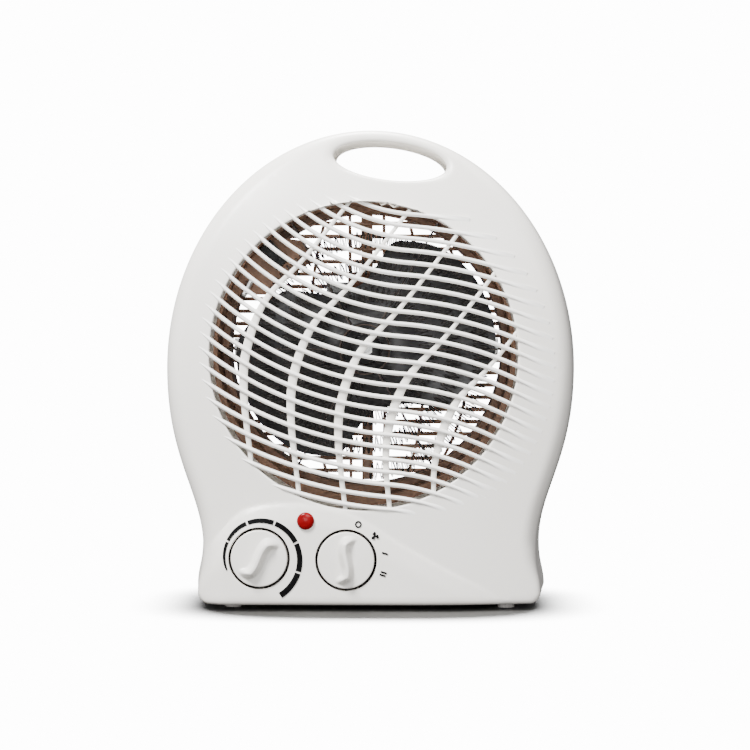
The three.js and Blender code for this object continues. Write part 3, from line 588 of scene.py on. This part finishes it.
ROUND_STEPS = np.radians([90, 80, 70, 60, 50, 40, 30])
RIM_STEPS = np.radians([0, 18, 36, 54, 72, 90])
WALL_SHARES = (0.35, 0.7)
EDGE_ROWS = (0.62, 0.75, 0.88, 1.0)
HOLE_ROWS = (1.2, 2.8)
GRID = 3.0
ROW_PITCH = GRID * 0.866
THIN_GAP = GRID * 0.42
BORDER_GAP = 0.9
MOUTH_GAP = 0.5
NUDGE = 1e-4


def shell(height, edge, facing, split_y, holes, extra):
    """Half of the casing. facing is -1 for the front and 1 for the back."""
    made = Parts()
    side_y = height(edge + inward * NUDGE)
    seam = outline + inward * SEAM_CHAMFER
    rings = [at_depth(seam, split_y), at_depth(outline, split_y + facing * SEAM_CHAMFER)]
    for share in WALL_SHARES:
        rings.append(at_depth(outline + (edge - outline) * share, split_y + (side_y - split_y) * share))
    for step in ROUND_STEPS:
        ring = edge + inward * (edge_round * (1 - math.sin(step)) + NUDGE)[:, None]
        rings.append(at_depth(ring, height(ring)))
    made.rings(rings, caps=False)
    border = ring
    loops = [border] + [h.mouth for h in holes]
    xs = np.arange(-HALF_WIDTH, HALF_WIDTH, GRID)
    zs = np.arange(BODY_BOTTOM, TOP_Z, ROW_PITCH)
    field = np.array([(x + (GRID / 2 if k % 2 else 0), z) for k, z in enumerate(zs) for x in xs])
    soft_rings = [edge + inward * (edge_round * share)[:, None] for share in EDGE_ROWS]
    rim_rings = [h.edge + h.out * (h.rim + gap) for h in holes for gap in HOLE_ROWS]
    loose = thinned(np.vstack([extra, *rim_rings, *soft_rings, field]), THIN_GAP)
    keep = inside(loose, border) & (distance(loose, border)[0] > BORDER_GAP)
    for h in holes:
        keep &= ~inside(loose, h.mouth) & (distance(loose, h.mouth)[0] > MOUTH_GAP)
    loose = loose[keep]
    edges, start = [], 0
    for loop in loops:
        edges += [(start + i, start + (i + 1) % len(loop)) for i in range(len(loop))]
        start += len(loop)
    flat = [Vector(p) for p in np.vstack([*loops, loose]).tolist()]
    found, _, faces, *_ = delaunay_2d_cdt(flat, edges, [], 0, 1e-6)
    found = np.array([tuple(v) for v in found])
    faces = np.array(faces)
    middle = found[faces].mean(axis=1)
    keep = inside(middle, border)
    for h in holes:
        keep &= ~inside(middle, h.mouth)
    made.add(at_depth(found, height(found)), faces[keep])
    for h in holes:
        rings = []
        for step in RIM_STEPS:
            ring = h.edge + h.out * h.rim * (1 - math.sin(step))
            depth = height(ring) - facing * h.rim_depth * (1 - math.cos(step))
            rings.append(at_depth(ring, depth))
        for within, depth in h.wall:
            rings.append(at_depth(h.edge - h.out * within, depth))
        made.rings(rings, caps=False)
    return made


def thinned(points, gap):
    """Drops points that share a cell with an earlier one."""
    cells = np.round(points / gap).astype(int)
    _, first = np.unique(cells, axis=0, return_index=True)
    return points[np.sort(first)]


def slot_hole(split_y):
    return Hole(slot_edge, slot_out, slot_rim, [(0, split_y)], SLOT_RIM_DEPTH)


OPENING_RIM = 0.9
GRILLE_WALL = [(0, -38), (0, -24)]
WELL_RIM = 0.25
WELL_WALL = [(0, PANEL_Y + 2)]
LENS_HOLE = {"radius": 4.25, "rim": 0.3, "wall": [(0, -46)]}
front_holes = [
    round_hole(*GRILLE, GRILLE_R, OPENING_RIM, GRILLE_WALL, 180),
    slot_hole(SPLIT_Y),
    round_hole(THERMOSTAT[0], THERMOSTAT[2], WELL_R, WELL_RIM, WELL_WALL, 96),
    round_hole(SELECTOR[0], SELECTOR[2], WELL_R, WELL_RIM, WELL_WALL, 96),
    round_hole(LENS[0], LENS[2], **LENS_HOLE, count=40),
]
crease_path = resampled(crease_line, 1.7)
crease_side = left_of(directions(crease_path))
crease_rows = np.vstack([crease_path - crease_side * gap for gap in CREASE_ROWS])
front_shell = shell(front_height, front_edge, -1, SPLIT_Y, front_holes, crease_rows).build(
    "front_casing", casing_finish, thick=WALL)
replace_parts(front_shell, "front_shell")

rear_split = SPLIT_Y + SPLIT_GAP
REAR_WALL = [(0, 40)]
SMALL_RIM = 0.4
GLAND_HOLE_R = 8.8
GLAND_WALL = [(0, 60.6), (3.0, 60.6), (3.0, 55)]
SCREW_HOLE_R = 3.4
SCREW_DEPTH = 14
SCREW_LEDGE = 1.6
rear_holes = [
    round_hole(AXIS_X, AXIS_Z, REAR_R, OPENING_RIM, REAR_WALL, 160),
    slot_hole(rear_split),
    round_hole(GLAND[0], GLAND[2], GLAND_HOLE_R, SMALL_RIM, GLAND_WALL, 48),
]
for x, _, z in SCREWS:
    seat = float(back_plain(np.array(x), np.array(z))) - SCREW_DEPTH
    screw_wall = [(0, seat), (SCREW_LEDGE, seat), (SCREW_LEDGE, seat - 3)]
    rear_holes.append(round_hole(x, z, SCREW_HOLE_R, SMALL_RIM, screw_wall, 32))
no_extra = np.empty((0, 2))
rear_shell = shell(back_height, back_edge, 1, rear_split, rear_holes, no_extra).build(
    "rear_casing", casing_finish, thick=WALL)
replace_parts(rear_shell, "rear_shell")


# ---- front grille ----
def bar_path(order):
    """One bar: an arc about the upper hub that runs into an arc about the lower hub. Gives its
    points, and how far each is past the opening's left and right edge, or None if it misses it."""
    between = LOWER_HUB - UPPER_HUB
    upper_r = MIDDLE_BAR_R + order * BAR_PITCH
    lower_r = float(np.linalg.norm(between)) - upper_r
    down = math.atan2(between[1], between[0])
    run = np.arange(-2.2 * GRILLE_R, 2.2 * GRILLE_R, 0.25)
    upper = run < 0
    turn = np.where(upper, down + run / upper_r, down + math.pi - run / lower_r)
    reach = np.where(upper, upper_r, lower_r)
    hub = np.where(upper[:, None], UPPER_HUB, LOWER_HUB)
    points = hub + reach[:, None] * np.stack([np.cos(turn), np.sin(turn)], axis=1)
    within = np.flatnonzero(np.linalg.norm(points, axis=1) < GRILLE_R)
    if not len(within):
        return None
    first, last = run[within[0]], run[within[-1]]
    at = np.concatenate([
        np.linspace(first - LEFT_FADE, first, BAR_STEPS["left"], endpoint=False),
        np.linspace(first, last, max(4, int((last - first) / BAR_STEPS["pitch"])), endpoint=False),
        np.linspace(last, last + RIGHT_FADE, BAR_STEPS["right"]),
    ])
    path = np.stack([np.interp(at, run, points[:, k]) for k in (0, 1)], axis=1)
    left, right = (first - at) / LEFT_FADE, (at - last) / RIGHT_FADE
    return path + GRILLE, np.clip(left, 0, 1), np.clip(right, 0, 1)


def bar_sections(path, left, right):
    """A rounded bar that sinks into the casing past the opening's edge. It comes to a point
    at its left end and spreads into a low mound at its right end."""
    face = front_height(path)
    across = np.linspace(-1, 1, 9)
    beyond = np.maximum(left, right)
    on_shell = smoothstep(0, 0.3, beyond)
    crest = BAR_PROUD * (1 - smoothstep(0.0, 1, beyond)) + 0.02
    half = BAR_HALF * (1 - LEFT_NARROWING * smoothstep(0, 1, left))
    half *= 1 + RIGHT_SPREAD * smoothstep(0, 1, right)
    sections = []
    for y, mound, height, width, past in zip(face, on_shell, crest, half, beyond):
        bar = y - height + BAR_ROUND * (1 - np.sqrt(1 - 0.96 * across**2))
        hump = y - height * np.cos(across * math.pi / 2) ** 2 + 0.12
        front = bar + (hump - bar) * mound
        back = y + (BAR_DEPTH if past < 0.06 else MOUND_DEPTH)
        sections.append(np.column_stack([
            np.append(across * width, [width * 0.8, -width * 0.8]),
            np.append(front, [back, back]),
        ]))
    return sections


bars = Parts()
for order in range(BAR_COUNT):
    traced = bar_path(order - (BAR_COUNT - 1) / 2)
    if traced is None:
        continue
    path, left, right = traced
    bars.rings(section_sweep(path, left_of(directions(path)), bar_sections(path, left, right)))
grille_bars = bars.build("grille_bars", bar_painted_light_finish, sharp=50)
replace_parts(grille_bars, "front_shell")

ribs = Parts()
for order in range(RIB_COUNT):
    line = spline(RIB_SPINE, 40) + RIB_STEP * (order - (RIB_COUNT - 1) / 2)
    line = resampled(line[np.linalg.norm(line, axis=1) < GRILLE_R + 1.6], 2.5)
    share = np.linspace(0, 1, len(line))
    swell = np.exp(-(((share - RIB_SWELL["at"]) / RIB_SWELL["spread"]) ** 2))
    half = RIB_THIN + RIB_SWELL["more"] * swell
    path = line + GRILLE
    face = front_height(path) + RIB_BEHIND
    sections = [
        np.column_stack([
            np.append(RIB_ACROSS * w, [w * 0.85, -w * 0.85]),
            np.append(y + RIB_CROWN, [y + RIB_DEPTH] * 2),
        ])
        for y, w in zip(face, half)
    ]
    ribs.rings(section_sweep(path, left_of(directions(path)), sections))
grille_ribs = ribs.build("grille_ribs", casing_finish, sharp=50)
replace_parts(grille_ribs, "front_shell")


# ---- rear grille ----
# (across, depth) of a bar: across is a share of its half width.
REAR_SECTION = np.array([
    (-1, 0.5), (-0.55, 0), (0.55, 0), (1, 0.5), (1, 2.6), (0.6, 3.1), (-0.6, 3.1), (-1, 2.6),
])


def rear_strip(parts, path, half):
    face = back_plain(path[:, 0], path[:, 1]) - 0.3
    across, depth = REAR_SECTION.T
    sections = [np.column_stack([across * half, y - depth]) for y in face]
    parts.rings(section_sweep(path, left_of(directions(path)), sections))


lattice = Parts()
rear_reach = REAR_R + 1.5
for i in range(REAR_BARS):
    rise = (i - (REAR_BARS - 1) / 2) * REAR_PITCH
    half_length = math.sqrt(rear_reach**2 - rise**2)
    xs = np.linspace(-half_length, half_length, 28)
    rear_strip(lattice, np.column_stack([AXIS_X + xs, np.full(28, AXIS_Z + rise)]), REAR_BAR_HALF)
for bulge, length, half in REAR_LONGITUDES:
    zs = np.linspace(-rear_reach, rear_reach, 60)
    for side in (1, -1) if bulge else (1,):
        xs = side * bulge * np.sqrt(np.clip(1 - (zs / length) ** 2, 0, 1))
        path = np.column_stack([xs, zs])
        path = path[np.linalg.norm(path, axis=1) < rear_reach]
        rear_strip(lattice, path + [AXIS_X, AXIS_Z], half)
rear_grille = lattice.build("rear_grille", rear_bar_painted_shade_finish, sharp=50)
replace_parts(rear_grille, "rear_shell")


# ---- knobs ----
GRIP_SPINE = [(-12.6, -1), (-8.8, -2.9), (-4.4, -2.2), (0, 0), (4.4, 2.2), (8.8, 2.9), (12.6, 1)]
GRIP_HEIGHT = 4.0
GRIP_FLANK = (0.4, 3.8)
GRIP_ENDS = (8.6, 13.8)
KNOB_BACK = -48.5
KNOB_FACE = -57.8
KNOB_EDGE = 0.5
KNOB_CROWN = 0.25
KNOB_SIDES = 144
KNOB_ROWS = 40


def knob(name, node, spindle, pointer, body):
    """A disc whose face swells into an S-shaped grip."""
    spine = spline(GRIP_SPINE, 12)
    turn = np.linspace(0, 2 * math.pi, KNOB_SIDES, endpoint=False)
    circle = np.column_stack([np.cos(turn), np.sin(turn)])
    rings = [at_depth(KNOB_R * circle, y) for y in (KNOB_BACK, KNOB_FACE + KNOB_EDGE)]
    for step in np.radians([15, 35, 55, 75]):
        radius = KNOB_R - KNOB_EDGE * (1 - math.cos(step))
        rings.append(at_depth(radius * circle, KNOB_FACE + KNOB_EDGE * (1 - math.sin(step))))
    for radius in np.linspace(KNOB_R - KNOB_EDGE, 0.25, KNOB_ROWS):
        flat = radius * circle
        fall = 1 - smoothstep(*GRIP_FLANK, distance(flat, spine, closed=False)[0])
        ends = 1 - smoothstep(*GRIP_ENDS, radius)
        height = GRIP_HEIGHT * fall * ends + KNOB_CROWN * (1 - (radius / KNOB_R) ** 2)
        rings.append(at_depth(flat, KNOB_FACE - height))
    parts = Parts()
    parts.rings(rings)
    cos, sin = math.cos(pointer), math.sin(pointer)
    spin = np.array([[cos, 0, -sin], [0, 1, 0], [sin, 0, cos]])
    parts.points = [p @ spin.T + [spindle[0], 0, spindle[2]] for p in parts.points]
    piece = parts.build(name, knob_finish, body=body, sharp=60)
    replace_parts(piece, node)


THERMOSTAT_POINTS = math.radians(39)
SELECTOR_POINTS = math.radians(73)
knob("thermostat_dial", "thermostat_knob", THERMOSTAT, THERMOSTAT_POINTS, "thermostat")
knob("selector_dial", "selector_knob", SELECTOR, SELECTOR_POINTS, "selector")

# ---- printed marks, a film on the panel ----
# Strokes stand this far forward, so that the casing's coarser mesh doesn't cover them.
INK_PROUD = 0.34
FAN_SIGN_PROUD = 0.65
INK_DEPTH = 0.1
SCALE_STOPS = [200, 152, 109, 66.5, 23, -19.5, -60]
SCALE_GAP = 1.4
SCALE_R = 18.2
SCALE_GROWTH = 4.4
SCALE_HALF = 0.36
SCALE_WIDENING = 1.26
OFF_SIGN = {"at": 71, "out": 20.1, "radius": 1.42, "half": 0.42}
FAN_SIGN = {"at": 40, "out": 20.1, "curl": 14, "reach": [0.1, 0.7, 1.4, 1.9], "half": [0.2, 0.62, 1.0, 0.8]}
DASHES = {"out": 21.0, "long": 1.65, "wave": 0.1, "half": 0.46, "tilt": -23}
DASH_GROUPS = ((10, [0]), (-20, [-0.8, 0.8]))
marks = Parts()


def mark(path, half, proud=INK_PROUD):
    """A printed stroke. half is one half width, or one for each point."""
    half = np.broadcast_to(half, len(path))
    side = left_of(directions(path))
    low, high = (front_height(path + side * (half * way)[:, None]) for way in (-1, 1))
    sections = [
        [(-w, a - proud), (w, b - proud), (w, b + INK_DEPTH), (-w, a + INK_DEPTH)]
        for w, a, b in zip(half, low, high)
    ]
    marks.rings(section_sweep(path, side, sections))


def polar(middle, degrees, radius):
    """Points round an (x, z) middle."""
    turn = np.radians(degrees)
    return np.stack([middle[0] + radius * np.cos(turn), middle[1] + radius * np.sin(turn)], axis=-1)


thermostat_middle, selector_middle = THERMOSTAT[::2], SELECTOR[::2]
scale_start, scale_end = SCALE_STOPS[0], SCALE_STOPS[-1]
for first, last in zip(SCALE_STOPS, SCALE_STOPS[1:]):
    from_angle = first - (SCALE_GAP if first < scale_start else 0)
    to_angle = last + (SCALE_GAP if last > scale_end else 0)
    degrees = np.linspace(from_angle, to_angle, 24)
    grown = (scale_start - degrees) / (scale_start - scale_end)
    half = SCALE_HALF + SCALE_WIDENING * grown**0.5
    mark(polar(thermostat_middle, degrees, SCALE_R + SCALE_GROWTH * grown), half)

off_middle = polar(selector_middle, OFF_SIGN["at"], OFF_SIGN["out"])
mark(polar(off_middle, np.linspace(0, 360, 33), OFF_SIGN["radius"]), OFF_SIGN["half"])
fan_middle = polar(selector_middle, FAN_SIGN["at"], FAN_SIGN["out"])
for blade in (90, 210, 330):
    along = np.linspace(FAN_SIGN["reach"][0], FAN_SIGN["reach"][-1], 8)
    half = np.interp(along, FAN_SIGN["reach"], FAN_SIGN["half"])
    mark(polar(fan_middle, blade + along * FAN_SIGN["curl"], along), half, FAN_SIGN_PROUD)
dash_way = polar([0, 0], DASHES["tilt"], 1.0)
dash_side = polar([0, 0], DASHES["tilt"] + 90, 1.0)
for degrees, offsets in DASH_GROUPS:
    for offset in offsets:
        along = np.linspace(-DASHES["long"], DASHES["long"], 10)[:, None]
        wave = offset + DASHES["wave"] * np.sin(along * math.pi / DASHES["long"])
        middle = polar(selector_middle, degrees, DASHES["out"])
        mark(middle + along * dash_way + wave * dash_side, DASHES["half"])
marks.build("panel_marks", ink_finish, slot="black_plastic", sharp=40)


# ---- turned pieces ----
def turned(name, node, profile, made, slot, closed=False):
    x, _, z = centre(node)
    parts = Parts()
    parts.rings(spun(profile, x, z), closed=closed)
    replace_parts(parts.build(name, made, slot=slot, sharp=35), node)


def ring_profile(inner, outer, front, back, ease=0.3):
    return [
        (inner + ease, front), (outer - ease, front), (outer, front + ease), (outer, back - ease),
        (outer - ease, back), (inner + ease, back), (inner, back - ease), (inner, front + ease),
    ]


def tube_of(node, wall):
    """The inner and outer radius and the two ends of a tube that fills a node's box."""
    (low_x, front, _), (high_x, back, _) = span(node)
    outer = (high_x - low_x) / 2
    return outer - wall, outer, front, back


LINER_WALL = 0.8
LINER_FLANGE_R = 87
LINER_LIP_R = 76.6
LINER_FLANGE_Y = (-3.6, -3)
LINER_LIP_Y = (0.8, 0.2)
PLATE_ARC = (130, 158)
PLATE_Y = (-9.8, -9)
CUTOUT_PLATE = [(-54, 30), (-40, 40.5), (-28, 49.5), (-34, 60)]


def element_liner():
    """The mica ring. The cut-out stands on a mica plate that fills its upper left."""
    inner, outer, front, back = tube_of("mica_ring", LINER_WALL)
    flange_front, flange_back = (front + y for y in LINER_FLANGE_Y)
    lip_front, lip_back = (back + y for y in LINER_LIP_Y)
    parts = Parts()
    parts.rings(spun([
        (inner, flange_front), (LINER_FLANGE_R, flange_front), (LINER_FLANGE_R, flange_back),
        (outer, flange_back), (outer, lip_front), (LINER_LIP_R, lip_front), (LINER_LIP_R, lip_back),
        (inner, lip_back),
    ], AXIS_X, AXIS_Z), closed=True)
    arc = polar([0, 0], np.linspace(*PLATE_ARC, 15), outer)
    plate = np.vstack([arc, CUTOUT_PLATE]) + [AXIS_X, AXIS_Z]
    parts.rings([at_depth(plate, y) for y in PLATE_Y])
    return parts


GLAND_PROFILE = [
    (3.7, 50), (5.4, 50), (5.4, 60.9), (8.1, 60.9), (8.4, 61.2), (8.4, 62.4), (7.6, 63.2), (4.3, 63.2),
    (3.7, 62.6),
]
LENS_R = 4.6
LENS_EDGE = -57.2
LENS_RISE = 1.5
LENS_STEM = [(3.9, -45), (3.9, -56.8), (LENS_R, -56.8)]
LENS_TIP = (0.15, -58.75)

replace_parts(element_liner().build("element_liner", mica_finish, slot="mica", sharp=35), "mica_ring")
core_profile = ring_profile(*tube_of("mica_core", 0.8), 0.2)
turned("element_core", "mica_core", core_profile, phenolic_finish, "mica", closed=True)
duct_profile = ring_profile(*tube_of("fan_shroud", 1.8))
turned("fan_duct", "fan_shroud", duct_profile, duct_painted_shade_finish, "phenolic", closed=True)
turned("inlet_gland", "cord_gland", GLAND_PROFILE, casing_finish, "casing", closed=True)
dome = [
    (LENS_R * math.cos(step), LENS_EDGE - LENS_RISE * math.sin(step))
    for step in np.radians([0, 20, 40, 60, 78])
]
turned("lens_dome", "indicator_lens", [*LENS_STEM, *dome, LENS_TIP], lens_finish, "lens_red")


# ---- fan ----
FAN_EDGE = [
    (-104, 62), (-98, 49), (-89, 38.2), (-74, 35), (-55, 38), (-45, 45), (-36, 56), (-25, 61),
    (-12, 67.5), (-4, 72), (4, 73.4), (20.5, 73.6), (37, 73.4), (54, 71), (68, 66), (76, 62),
]
FAN_THICK = 1.2
FAN_Y = 19
FAN_INNER_R = 6
FAN_TWIST = 6.5
FAN_TWIST_R = 60
FAN_MIDDLE = math.radians(21)
# Pressed rings round the hub: height, radius and spread.
FAN_FLUTES = [(0.5, 30, 3.0), (0.9, 15, 2.5)]
FAN_HUB = [(2.3, 13), (7.6, 13), (8.6, 13.5), (9, 14.5), (9, 23.6), (8.6, 24), (2.3, 24)]


def fan_blades():
    """Two pressed blades: the sheet's edge is a radius at each angle, the same for both."""
    half_turn = np.array(FAN_EDGE, float)[:-1]
    wrapped = np.vstack([half_turn + [k, 0] for k in (-180, 0, 180, 360)])
    edge = spline(wrapped, 8)
    count, radial = 360, 22
    start = FAN_EDGE[0][0]
    degrees = np.linspace(start, start + 360, count, endpoint=False)
    reach = np.interp(degrees, edge[:, 0], edge[:, 1])
    turn = np.radians(degrees)
    rings = []
    for t in [*np.linspace(0, 1, radial), *np.linspace(1, 0, radial)]:
        back = FAN_THICK / 2 if len(rings) >= radial else -FAN_THICK / 2
        radius = FAN_INNER_R + (reach - FAN_INNER_R) * t
        twist = FAN_TWIST * np.sin(2 * (turn - FAN_MIDDLE)) * radius / FAN_TWIST_R
        flute = sum(rise * np.exp(-(((radius - at) / spread) ** 2)) for rise, at, spread in FAN_FLUTES)
        rings.append(at_depth(polar([AXIS_X, AXIS_Z], degrees, radius), FAN_Y + twist - flute + back))
    parts = Parts()
    parts.rings(rings, closed=True)
    parts.rings(spun(FAN_HUB, AXIS_X, AXIS_Z, 64), closed=True)
    return parts


fan = fan_blades().build("fan_blades", fan_finish, body="fan_rotor", slot="fan_metal", sharp=40)
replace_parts(fan, "fan")


# ---- heating wires ----
COIL = {"start": math.radians(-88), "outer": 68, "pitch": 15, "turns": 3, "half": 4.2}
ZIG_PITCH = 2.9
ZIG_STEPS = 18
ZIG_SQUARENESS = 0.75
ZIG_DEPTH = 0.5
UNEVEN_ALONG = 0.1
UNEVEN_DEPTH = 0.35
WIRE_R = 0.24


def zigzag(name, node, seed):
    """Resistance wire folded radially back and forth along a flat spiral."""
    y = centre(node)[1]
    chance = np.random.default_rng(seed)
    turns = np.linspace(0, COIL["turns"], 4000)
    radius = COIL["outer"] - COIL["pitch"] * turns
    run = np.concatenate([[0], np.cumsum(np.diff(turns) * 2 * math.pi * radius[:-1])])
    zigs = int(run[-1] / ZIG_PITCH)
    phase = np.linspace(0, zigs, zigs * ZIG_STEPS + 1)
    jitter = np.interp(phase, np.arange(zigs + 1), chance.normal(0, UNEVEN_ALONG, zigs + 1))
    depth = np.interp(phase, np.arange(zigs + 1), chance.normal(0, UNEVEN_DEPTH, zigs + 1))
    depth += y + ZIG_DEPTH * np.cos(2 * math.pi * phase)
    swing = np.sin(2 * math.pi * phase)
    swing = np.sign(swing) * np.abs(swing) ** ZIG_SQUARENESS
    along = (phase + jitter) * ZIG_PITCH
    at = np.interp(along, run, turns)
    middle = COIL["outer"] - COIL["pitch"] * at
    r = middle + COIL["half"] * swing
    turn = COIL["start"] + 2 * math.pi * at
    path = np.column_stack([AXIS_X + r * np.cos(turn), depth, AXIS_Z + r * np.sin(turn)])
    parts = Parts()
    parts.rings(tube_rings(path, WIRE_R, 6))
    piece = parts.build(name, wire_finish, slot="nichrome", sharp=80)
    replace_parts(piece, node)


zigzag("wire_coil_front", "heating_wire_front", 3)
zigzag("wire_coil_rear", "heating_wire_rear", 8)

# ---- finishes of the CAD nodes, hidden ones included ----
SLOT_FINISH = {
    "casing": casing_finish, "feet": foot_finish, "steel": steel_finish, "mica": mica_finish,
    "nichrome": wire_finish, "black_plastic": black_finish, "fan_metal": fan_finish,
    "lamination": lamination_finish, "winding": copper_finish, "phenolic": phenolic_finish,
    "lens_red": lens_finish, "lamp_glass": glow_finish, "terminal": nylon_finish,
}
for part in frame["record"]["subparts"]:
    node = frame["nodes"][part["node"]]
    node.data.materials.clear()
    board = part["node"].startswith("mica_board")
    node.data.materials.append(board_finish if board else SLOT_FINISH[part["material_slot"]])


# ---- floor, light and camera, in metres ----
# The floor is mid-grey round the heater and fades out by alpha into the white surroundings.
FLOOR_R = 2.5
FLOOR_GREYS = ((0.30, 0.30, 0.30), (0.34, 0.34, 0.34))
FADE_MIDDLE = (0, -0.02)
FADE_HALF = (0.134, 0.087)
FADE_FROM = 0.66
FADE_TO = 1.0


def floor():
    """A grey floor that fades into the white round it away from the heater's foot. The grey
    imitates part of a contact shadow."""
    turn = np.linspace(0, 2 * math.pi, 96, endpoint=False)
    mesh = bpy.data.meshes.new("floor")
    rim = [(FLOOR_R * math.cos(a), FLOOR_R * math.sin(a), 0) for a in turn]
    mesh.from_pydata(rim, [], [tuple(range(96))])
    piece = bpy.data.objects.new("floor", mesh)
    bpy.context.scene.collection.objects.link(piece)
    made = finish("grey_floor", *FLOOR_GREYS, 0.6, 400, Specular_IOR_Level=0.1)
    nodes, links = made.node_tree.nodes, made.node_tree.links

    def sum_of_cubes(values):
        total = None
        for value, middle, half in zip(values, FADE_MIDDLE, FADE_HALF):
            scaled = nodes.new("ShaderNodeMath")
            scaled.operation = "MULTIPLY_ADD"
            scaled.inputs[1].default_value = 1 / half
            scaled.inputs[2].default_value = -middle / half
            links.new(value, scaled.inputs[0])
            size = nodes.new("ShaderNodeMath")
            size.operation = "ABSOLUTE"
            links.new(scaled.outputs[0], size.inputs[0])
            cube = nodes.new("ShaderNodeMath")
            cube.operation = "POWER"
            cube.inputs[1].default_value = 3
            links.new(size.outputs[0], cube.inputs[0])
            if total is None:
                total = cube.outputs[0]
            else:
                both = nodes.new("ShaderNodeMath")
                links.new(total, both.inputs[0])
                links.new(cube.outputs[0], both.inputs[1])
                total = both.outputs[0]
        return total

    place = nodes.new("ShaderNodeTexCoord")
    axes = nodes.new("ShaderNodeSeparateXYZ")
    links.new(place.outputs["Object"], axes.inputs[0])
    root = nodes.new("ShaderNodeMath")
    root.operation = "POWER"
    root.inputs[1].default_value = 1 / 3
    links.new(sum_of_cubes((axes.outputs["X"], axes.outputs["Y"])), root.inputs[0])
    fade = nodes.new("ShaderNodeMapRange")
    fade.interpolation_type = "SMOOTHSTEP"
    fade.inputs["From Min"].default_value = FADE_FROM
    fade.inputs["From Max"].default_value = FADE_TO
    fade.inputs["To Min"].default_value = 1
    fade.inputs["To Max"].default_value = 0
    links.new(root.outputs[0], fade.inputs["Value"])
    links.new(fade.outputs["Result"], nodes["Principled BSDF"].inputs["Alpha"])
    mesh.materials.append(made)
    return piece


def softbox(name, place, aim, size, power):
    lamp = bpy.data.lights.new(name, "AREA")
    lamp.shape = "RECTANGLE"
    lamp.size, lamp.size_y = size
    lamp.energy = power
    piece = bpy.data.objects.new(name, lamp)
    piece.location = place
    piece.rotation_mode = "QUATERNION"
    piece.rotation_quaternion = (Vector(aim) - Vector(place)).to_track_quat("-Z", "Y")
    bpy.context.scene.collection.objects.link(piece)
    return piece


def surroundings(seen, shed):
    """Even white round the scene: one strength behind the view, another as light."""
    world = bpy.data.worlds.new("studio")
    bpy.context.scene.world = world
    world.use_nodes = True
    nodes, links = world.node_tree.nodes, world.node_tree.links
    ground = nodes["Background"]
    ground.inputs["Color"].default_value = (1, 1, 1, 1)
    ray = nodes.new("ShaderNodeLightPath")
    strength = nodes.new("ShaderNodeMapRange")
    strength.inputs["To Min"].default_value = shed
    strength.inputs["To Max"].default_value = seen
    links.new(ray.outputs["Is Camera Ray"], strength.inputs["Value"])
    links.new(strength.outputs["Result"], ground.inputs["Strength"])


WORLD_SEEN = 14.0
WORLD_SHED = 0.22
surroundings(WORLD_SEEN, WORLD_SHED)
softbox("overhead", (-0.05, 0.27, 0.98), (0, 0, 0.1), (0.3, 0.3), 26)
key = softbox("key", (-0.9, -1.2, 2.1), (0, 0, 0.14), (0.7, 0.7), 225)
fill = softbox("fill", (0.45, -1.9, 1.2), (0, 0, 0.13), (1.0, 0.8), 38)
front = softbox("front", (-0.1, -2.1, 0.22), (0, 0, 0.13), (0.7, 0.5), 13)
# The three front lamps don't light the floor, which keeps the patch round the base dark.
flagged = bpy.data.collections.new("flagged_off")
flagged.objects.link(floor())
flagged.collection_objects[0].light_linking.link_state = "EXCLUDE"
for lamp in (key, fill, front):
    lamp.light_linking.receiver_collection = flagged

VIEW_DISTANCE = 1.1
VIEW_HEIGHT = 0.15
VIEW_YAW = math.radians(1.0)
VIEW_PITCH = math.radians(1.35)
VIEW_ASIDE = 0.0024
VIEW_LENS = 94.8
camera = bpy.data.objects.new("camera", bpy.data.cameras.new("camera"))
camera.data.lens = VIEW_LENS
camera.data.sensor_width = 36
across = Vector((math.cos(VIEW_YAW), math.sin(VIEW_YAW), 0))
ahead = Vector((-math.sin(VIEW_YAW), math.cos(VIEW_YAW), 0))
camera.location = -ahead * VIEW_DISTANCE + across * VIEW_ASIDE + Vector((0, 0, VIEW_HEIGHT))
camera.rotation_euler = (math.pi / 2 - VIEW_PITCH, 0, VIEW_YAW)
camera.data.clip_start = 0.05
camera.data.clip_end = 30
bpy.context.scene.collection.objects.link(camera)
bpy.context.scene.camera = camera
